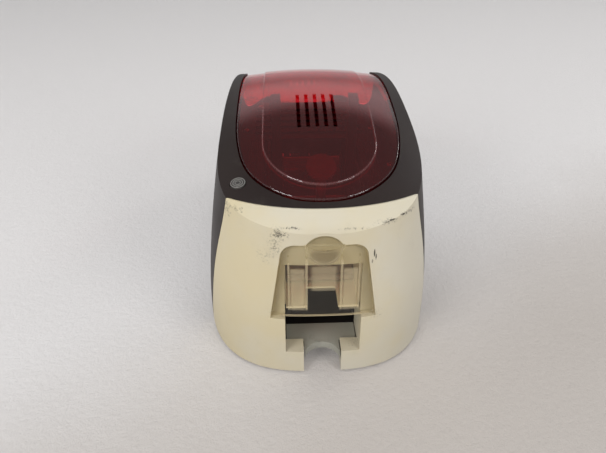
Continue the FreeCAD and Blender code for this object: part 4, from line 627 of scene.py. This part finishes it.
@dataclass
class Workshop:
    """Keeps the materials and gives solids and pieces their finishes."""

    made: dict[Finish, bpy.types.Material] = field(default_factory=dict)

    def material(self, finish: Finish) -> bpy.types.Material:
        """The material of a finish, made once."""
        if finish not in self.made:
            self.made[finish] = finish.value.build()
        return self.made[finish]

    def dress(self, piece: bpy.types.Object, finish: Finish) -> None:
        """Give every face of a piece one finish."""
        piece.data.materials.clear()
        piece.data.materials.append(self.material(finish))

    def dress_solids(self) -> None:
        """Give every solid its finish from its slot in the record."""
        for subpart in frame["record"]["subparts"]:
            node = subpart["node"]
            finish = NODE_FINISH.get(node, SLOT_FINISH[subpart["material_slot"]])
            self.dress(frame["nodes"][node], finish)
            log.info("solid %s has finish %s", node, finish.name)

    def piece(self, name: str, shape: bmesh.types.BMesh, body: str, slot: str,
              finish: Finish) -> bpy.types.Object:
        """Turn a finished bmesh into a dressed piece that rides on a body.

        Args:
            name: Name of the piece.
            shape: The mesh, in metres in the row's frame. It is freed.
            body: Name of the body that carries the piece.
            slot: Material slot of the record that the finish belongs to; not used.
            finish: Finish of every face.

        Returns:
            The new object.
        """
        bmesh.ops.remove_doubles(shape, verts=shape.verts, dist=MERGE_DISTANCE)
        bmesh.ops.recalc_face_normals(shape, faces=shape.faces)
        mesh = bpy.data.meshes.new(name)
        shape.to_mesh(mesh)
        shape.free()
        piece = bpy.data.objects.new(name, mesh)
        bpy.context.scene.collection.objects.link(piece)
        self.dress(piece, finish)
        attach(piece, body)
        log.info("piece %s rides on %s with %d faces", name, body, len(mesh.polygons))
        return piece


def edges_of(verts: Iterable[bmesh.types.BMVert]) -> list[bmesh.types.BMEdge]:
    """List every edge that ends in one of the vertices, in an order that is the same on each run.

    Args:
        verts: The vertices.

    Returns:
        Each edge once.
    """
    return list(dict.fromkeys(edge for vert in verts for edge in vert.link_edges))


def add_bar(shape: bmesh.types.BMesh, low: Vector, high: Vector, rounding: float) -> None:
    """Add a bar with rounded edges between two corners.

    Args:
        shape: The bmesh that gets the bar.
        low: Lowest corner.
        high: Highest corner.
        rounding: Radius of the edges in metres.
    """
    verts = bmesh.ops.create_cube(shape, size=1.0)["verts"]
    bmesh.ops.scale(shape, vec=high - low, verts=verts)
    bmesh.ops.translate(shape, vec=(low + high) / 2, verts=verts)
    bmesh.ops.bevel(shape, geom=edges_of(verts), offset=rounding, segments=3, **BEVEL)


def add_block(shape: bmesh.types.BMesh, middle: Pair, size: Pair, heights: Pair, rounding: float) -> None:
    """Add an upright bar given by its middle. All measures are in millimetres.

    Args:
        shape: The bmesh that gets the bar.
        middle: Place across and behind the foremost point of the body.
        size: Width across and length along the body.
        heights: Heights of the underside and of the top.
        rounding: Radius of the edges.
    """
    (x, depth), (width, length), (low, high) = middle, size, heights
    add_bar(shape, place(x - width / 2, depth - length / 2, low),
            place(x + width / 2, depth + length / 2, high), rounding * MM)


def add_coil(shape: bmesh.types.BMesh, centre: Vector, radius: float, wire: tuple[float, int],
             turns: int, steps: int, rise: float = 0.0) -> None:
    """Add round wire that winds about an upright axis. A coil without rise closes into a ring.

    Args:
        shape: The bmesh that gets the wire.
        centre: Point on the axis, level with the start of the wire.
        radius: Radius of the coil in metres.
        wire: Radius of the wire in metres, and the number of its sides.
        turns: Number of full turns.
        steps: Number of steps in all.
        rise: Height of the coil in metres.
    """
    start = bmesh.ops.create_circle(shape, cap_ends=False, radius=wire[0], segments=wire[1])["verts"]
    bmesh.ops.rotate(shape, verts=start, cent=(0, 0, 0), matrix=Matrix.Rotation(math.pi / 2, 3, "X"))
    bmesh.ops.translate(shape, verts=start, vec=centre + Vector((radius, 0, 0)))
    bmesh.ops.spin(shape, geom=start + edges_of(start), cent=centre, axis=(0, 0, 1),
                   dvec=(0, 0, rise / steps), angle=2 * math.pi * turns, steps=steps, use_merge=not rise)


def add_screw_head(shape: bmesh.types.BMesh, foot: Vector, turn: Matrix, radius: float,
                   height: float) -> None:
    """Add a pan head with a six-lobed socket, standing on a foot point.

    Args:
        shape: The bmesh that gets the head.
        foot: Middle of the head's underside.
        turn: Rotation that takes +Z to the head's own upward direction.
        radius: Radius of the head in metres.
        height: Height of the head in metres.
    """
    before = set(shape.verts)
    disc = bmesh.ops.create_circle(shape, cap_ends=True, segments=HEAD_SIDES, radius=radius)["verts"]
    base = disc[0].link_faces[0]
    top = bmesh.ops.extrude_face_region(shape, geom=[base])["geom"]
    face = next(item for item in top if isinstance(item, bmesh.types.BMFace))
    bmesh.ops.translate(shape, vec=(0, 0, height), verts=face.verts)
    bmesh.ops.bevel(shape, geom=list(face.edges), offset=height * HEAD_ROUNDING, segments=3, **BEVEL)
    new_faces = [item for item in shape.faces if item.verts[0] not in before]
    face = max(new_faces, key=lambda item: (item.calc_center_median().z, item.calc_area()))
    bmesh.ops.inset_region(shape, faces=[face], thickness=radius * SOCKET_INSET)
    for index, vert in enumerate(face.verts):
        lobe = SOCKET_WAIST if index % 4 < 2 else 1.0
        vert.co.x *= lobe
        vert.co.y *= lobe
    bottom = bmesh.ops.extrude_face_region(shape, geom=[face])["geom"]
    bmesh.ops.delete(shape, geom=[face], context="FACES_ONLY")
    bmesh.ops.translate(shape, vec=(0, 0, -height * SOCKET_DEPTH),
                        verts=[item for item in bottom if isinstance(item, bmesh.types.BMVert)])
    new = [vert for vert in shape.verts if vert not in before]
    bmesh.ops.transform(shape, matrix=Matrix.Translation(foot) @ turn.to_4x4(), verts=new)


@dataclass
class ButtonRings:
    """Concentric beads moulded on top of the control button, in a plastic paler than the button's: painted
    highlights.
    """

    centre: Triple = (-63.0, 49.5, 0.0)
    half_width: float = 6.1
    half_length: float = 4.3
    turn: float = -18.0
    bead: float = 0.28
    bead_sides: int = 8
    steps: int = 48
    shares: tuple[float, ...] = (0.90, 0.62, 0.34)

    def build(self, workshop: Workshop) -> None:
        """Make the beads and seat them on the button's top."""
        mesh = frame["nodes"]["control_button"].data
        tree = BVHTree.FromPolygons([v.co for v in mesh.vertices], [list(p.vertices) for p in mesh.polygons])
        shape = bmesh.new()
        for share in self.shares:
            add_coil(shape, Vector(), self.half_width * share * MM, (self.bead * MM, self.bead_sides),
                     turns=1, steps=self.steps)
        bmesh.ops.scale(shape, vec=(1, self.half_length / self.half_width, 1), verts=shape.verts)
        bmesh.ops.rotate(shape, verts=shape.verts, cent=(0, 0, 0),
                         matrix=Matrix.Rotation(math.radians(self.turn), 3, "Z"))
        bmesh.ops.translate(shape, vec=place(*self.centre), verts=shape.verts)
        for vert in shape.verts:
            hit = tree.ray_cast(Vector((vert.co.x, vert.co.y, RAY_HEIGHT)), Vector((0, 0, -1)))[0]
            if hit is not None:
                vert.co.z += hit.z
        workshop.piece("button_rings", shape, "button", "grey_clear", Finish.HIGHLIGHT_RING_CLEAR)


@dataclass
class DeckDetail:
    """Stiffening ribs and screws on the inner deck, seen through the cover and when it is open."""

    top: float = 110.5
    rib_depths: tuple[float, ...] = (236.0, 252.0, 268.0, 284.0, 300.0)
    rib_half: float = 58.0
    rib_wall: float = 1.6
    rib_height: float = 2.2
    sink: float = 0.3
    rounding: float = 0.4
    spines: tuple[float, ...] = (-40.0, 40.0)
    spine_drop: float = 0.2
    side_ribs: tuple[tuple[float, float, float], ...] = ((54.0, 104.0, 214.0), (62.0, 104.0, 214.0))
    screws: tuple[tuple[float, float], ...] = ((66.0, 84.0), (74.0, 158.0), (68.0, 244.0), (54.0, 312.0))
    screw_radius: float = 2.8
    screw_height: float = 1.6

    def build(self, workshop: Workshop) -> None:
        """Make the ribs and the screws."""
        shape = bmesh.new()
        half = self.rib_wall / 2
        low = self.top - self.sink
        high = self.top + self.rib_height
        rounding = self.rounding * MM
        for depth in self.rib_depths:
            add_bar(shape, place(-self.rib_half, depth - half, low), place(self.rib_half, depth + half, high),
                    rounding)
        for x in self.spines:
            add_bar(shape, place(x - half, self.rib_depths[0], low),
                    place(x + half, self.rib_depths[-1], high - self.spine_drop), rounding)
        for x, front, rear in self.side_ribs:
            for side in (-x, x):
                add_bar(shape, place(side - half, front, low), place(side + half, rear, high), rounding)
        workshop.piece("deck_ribs", shape, "housing", "black", Finish.BLACK)
        shape = bmesh.new()
        for x, depth in self.screws:
            for side in (-x, x):
                add_screw_head(shape, place(side, depth, self.top), Matrix.Identity(3),
                               self.screw_radius * MM, self.screw_height * MM)
        workshop.piece("deck_screws", shape, "housing", "steel", Finish.STEEL)


@dataclass
class BoardParts:
    """Chips, sockets and capacitors on the main board.

    Each is given by its place across, its depth, its width and length or its radius, and its height.
    """

    top: float = 14.6
    chips: tuple[tuple[float, float, float, float, float], ...] = (
        (-3.0, 300.0, 14.0, 14.0, 1.6), (13.0, 282.0, 10.0, 6.0, 1.4), (-14.0, 278.0, 8.0, 5.0, 1.4),
        (14.0, 300.0, 6.0, 10.0, 1.6), (-2.0, 340.0, 5.0, 6.0, 1.4))
    sockets: tuple[tuple[float, float, float, float, float], ...] = (
        (0.0, 264.0, 22.0, 5.0, 6.5), (-23.0, 300.0, 5.0, 18.0, 6.5), (22.5, 318.0, 5.0, 12.0, 6.5))
    cans: tuple[tuple[float, float, float, float], ...] = (
        (8.0, 322.0, 4.0, 10.0), (-8.0, 322.0, 4.0, 10.0), (-18.0, 330.0, 3.0, 7.0), (3.0, 284.0, 2.5, 6.0))
    sink: float = 0.05
    chip_lift: float = 0.15
    chip_rounding: float = 0.2
    leg_pitch: float = 1.27
    leg_start: float = 0.8
    leg_root: float = 0.2
    leg_reach: float = 1.1
    leg_half: float = 0.2
    leg_top: float = 0.35
    leg_rounding: float = 0.08
    socket_rounding: float = 0.3
    socket_wall: float = 0.8
    socket_depth: float = 4.0
    can_sides: int = 24
    can_rounding: float = 0.4

    def build(self, workshop: Workshop) -> None:
        """Make the chips with their legs, the sockets and the capacitors."""
        self.build_chips(workshop)
        self.build_sockets(workshop)
        self.build_cans(workshop)

    def build_chips(self, workshop: Workshop) -> None:
        """Make the chips, and a row of legs along each side of each chip."""
        chips = bmesh.new()
        legs = bmesh.new()
        for x, depth, width, length, height in self.chips:
            add_block(chips, (x, depth), (width, length), (self.top + self.chip_lift, self.top + height),
                      self.chip_rounding)
            for step in range(int(length / self.leg_pitch)):
                along = depth - length / 2 + self.leg_start + step * self.leg_pitch
                for side in (-1, 1):
                    inner, outer = sorted((x + side * (width / 2 - self.leg_root),
                                           x + side * (width / 2 + self.leg_reach)))
                    add_bar(legs, place(inner, along - self.leg_half, self.top - self.sink),
                            place(outer, along + self.leg_half, self.top + self.leg_top),
                            self.leg_rounding * MM)
        workshop.piece("board_chips", chips, "housing", "black", Finish.CHIP)
        workshop.piece("chip_legs", legs, "housing", "steel", Finish.STEEL)

    def build_sockets(self, workshop: Workshop) -> None:
        """Make the plug sockets, open at the top."""
        sockets = bmesh.new()
        for x, depth, width, length, height in self.sockets:
            add_block(sockets, (x, depth), (width, length), (self.top - self.sink, self.top + height),
                      self.socket_rounding)
            face = max(sockets.faces,
                       key=lambda item: (round(item.calc_center_median().z, 6), item.calc_area()))
            bmesh.ops.inset_region(sockets, faces=[face], thickness=self.socket_wall * MM)
            bmesh.ops.translate(sockets, verts=face.verts, vec=(0, 0, -self.socket_depth * MM))
        workshop.piece("board_sockets", sockets, "housing", "gear_white", Finish.SOCKET_WHITE)

    def build_cans(self, workshop: Workshop) -> None:
        """Make the capacitors, rounded at the top."""
        cans = bmesh.new()
        for x, depth, radius, height in self.cans:
            ring = bmesh.ops.create_cone(cans, cap_ends=True, cap_tris=False, segments=self.can_sides,
                                         radius1=radius * MM, radius2=radius * MM, depth=height * MM)["verts"]
            middle = place(x, depth, self.top + height / 2)
            bmesh.ops.translate(cans, verts=ring, vec=middle)
            upper = [edge for edge in edges_of(ring) if min(end.co.z for end in edge.verts) > middle.z]
            bmesh.ops.bevel(cans, geom=upper, offset=self.can_rounding * MM, segments=2, **BEVEL)
        workshop.piece("board_capacitors", cans, "housing", "steel", Finish.STEEL)


@dataclass
class HeadSprings:
    """Coil springs between the carrier and the print head."""

    x: float = 14.0
    depth: float = 148.5
    radius: float = 2.8
    wire: float = 0.45
    wire_sides: int = 10
    turns: int = 5
    steps_per_turn: int = 24
    travel: float = 0.5

    def build(self, workshop: Workshop) -> None:
        """Make both springs as one piece that stands for the solid ones."""
        low, high = (corner[2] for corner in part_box("head_springs"))
        shape = bmesh.new()
        for side in (-self.x, self.x):
            foot = place(side, self.depth, 0.0)
            foot.z = low + self.wire * MM
            add_coil(shape, foot, self.radius * MM, (self.wire * MM, self.wire_sides), turns=self.turns,
                     steps=self.turns * self.steps_per_turn, rise=high - low - 2 * self.wire * MM)
        bmesh.ops.holes_fill(shape, edges=[edge for edge in shape.edges if edge.is_boundary], sides=0)
        piece = workshop.piece("head_spring_coils", shape, "cover", "steel", Finish.STEEL)
        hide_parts("head_springs")
        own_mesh(piece)


@dataclass
class RearScrews:
    """Screws that hold the recessed rear panel."""

    places: tuple[tuple[float, float], ...] = ((-23.0, 31.0), (23.0, 31.0), (23.0, 15.0), (-23.5, 15.0))
    face_depth: float = 364.0
    radius: float = 2.0
    height: float = 1.2

    def build(self, workshop: Workshop) -> None:
        """Make the screw heads, facing backwards."""
        shape = bmesh.new()
        turn = Matrix.Rotation(-math.pi / 2, 3, "X")
        for x, z in self.places:
            add_screw_head(shape, place(x, self.face_depth, z), turn, self.radius * MM, self.height * MM)
        workshop.piece("rear_panel_screws", shape, "housing", "steel", Finish.STEEL)


@dataclass(frozen=True)
class Lamp:
    """Square soft lamp that points at the object. Its place is in metres."""

    name: str
    spot: Triple
    size: float
    power: float
    reflected: bool = True

    def build(self, aim: Vector) -> None:
        """Make the lamp.

        Args:
            aim: Point that it lights, in metres.
        """
        light = bpy.data.lights.new(self.name, "AREA")
        light.size = self.size
        light.energy = self.power
        lamp = bpy.data.objects.new(self.name, light)
        lamp.location = self.spot
        lamp.visible_glossy = self.reflected
        lamp.rotation_euler = (aim - Vector(self.spot)).to_track_quat("-Z", "Y").to_euler()
        bpy.context.scene.collection.objects.link(lamp)


@dataclass
class Studio:
    """Floor, lamps, world and camera."""

    floor_half: float = 3.0
    floor_glow: float = 0.2
    floor_light: Colour = linear(228, 225, 224)
    floor_dim: Colour = linear(192, 185, 179)
    dim_right: float = 0.5
    dim_front: float = 0.9
    dim_waver: float = 0.15
    dim_range: Pair = (0.05, 0.35)
    foam_roughness: float = 0.9
    foam_depth: float = 0.0012
    world_colour: Colour = (0.94, 0.95, 0.96)
    low_strength: float = 0.42
    wall_strength: float = 0.58
    wall_range: Pair = (0.24, 0.48)
    ceiling_loss: float = 0.78
    ceiling_range: Pair = (0.53, 0.68)
    aim: Triple = (0.0, 0.0, 0.08)
    lamps: tuple[Lamp, ...] = (
        Lamp("left_lamp", (-1.4, -1.55, 1.15), 1.0, 21.0),
        Lamp("right_lamp", (1.3, -1.4, 1.1), 0.9, 11.0),
        Lamp("window_lamp", (1.6, 0.9, 1.3), 0.5, 4.5),
        Lamp("ceiling_lamp", (0.0, -0.3, 2.2), 1.6, 14.0, reflected=False),
    )
    camera_place: Triple = (-28.47, -307.0, 354.94)
    pitch: float = 34.0
    yaw: float = 2.3
    focal: float = 543.0
    image_width: float = 606.0
    sensor: float = 36.0

    def build(self) -> None:
        """Make everything round the object."""
        self.floor()
        self.world()
        for lamp in self.lamps:
            lamp.build(Vector(self.aim))
        self.camera()

    def floor(self) -> None:
        """Pale floor of packing foam, with painted shade that makes it a little dimmer at the front and the
        right.
        """
        mesh = bpy.data.meshes.new("floor")
        shape = bmesh.new()
        bmesh.ops.create_grid(shape, x_segments=1, y_segments=1, size=self.floor_half)
        shape.to_mesh(mesh)
        shape.free()
        floor = bpy.data.objects.new("floor", mesh)
        bpy.context.scene.collection.objects.link(floor)
        shader = Shader("foam_floor")
        # Painted shade: the foam turns dimmer towards the front and the right, with a slow waver.
        slope = shader.x * self.dim_right - shader.y * self.dim_front
        shade = (slope + shader.noise(*FLOOR_NOISE) * self.dim_waver).ramp(*self.dim_range)
        colour = shader.mix(shade, self.floor_light, self.floor_dim)
        foam = shader.surface(Base_Color=colour, Roughness=self.foam_roughness,
                              Normal=shader.bump(shader.noise(*FOAM_NOISE), self.foam_depth))
        glow = shader.node("ShaderNodeEmission", {}, {"Color": colour, "Strength": 1.0})
        path = shader.node("ShaderNodeLightPath", {}, {}).socket.node
        seen = Wire(shader, path.outputs["Is Camera Ray"])
        for ray in ("Is Glossy Ray", "Is Transmission Ray"):
            seen = seen.most(Wire(shader, path.outputs[ray]))
        mesh.materials.append(shader.finish(shader.blend(seen * self.floor_glow, foam, glow)))

    def world(self) -> None:
        """Plain surroundings: pale a little above the horizon, dimmer overhead as under a ceiling."""
        world = bpy.data.worlds.new("studio")
        bpy.context.scene.world = world
        world.use_nodes = True
        tree = Nodes(world.node_tree)
        background = world.node_tree.nodes["Background"]
        _, _, height = tree.split(tree.coordinates("Generated"))
        wall = height.ramp(*self.wall_range) * self.wall_strength
        ceiling = height.ramp(*self.ceiling_range) * self.ceiling_loss
        tree.feed(background.inputs["Color"], self.world_colour)
        tree.feed(background.inputs["Strength"], self.low_strength + wall - ceiling)

    def camera(self) -> None:
        """Camera at the photograph's viewpoint."""
        lens = bpy.data.cameras.new("camera")
        lens.sensor_width = self.sensor
        lens.lens = self.focal / self.image_width * self.sensor
        lens.clip_start = 0.01
        camera = bpy.data.objects.new("camera", lens)
        camera.location = place(*self.camera_place)
        camera.rotation_euler = (math.radians(90 - self.pitch), 0, math.radians(-self.yaw))
        bpy.context.scene.collection.objects.link(camera)
        bpy.context.scene.camera = camera


def main() -> None:
    """Build the studio and dress the printer."""
    logging.basicConfig(level=logging.INFO)
    Studio().build()
    workshop = Workshop()
    workshop.dress_solids()
    for part in (ButtonRings(), DeckDetail(), BoardParts(), HeadSprings(), RearScrews()):
        part.build(workshop)
    bpy.context.scene.view_settings.view_transform = "Standard"


if __name__ == "__main__":
    main()
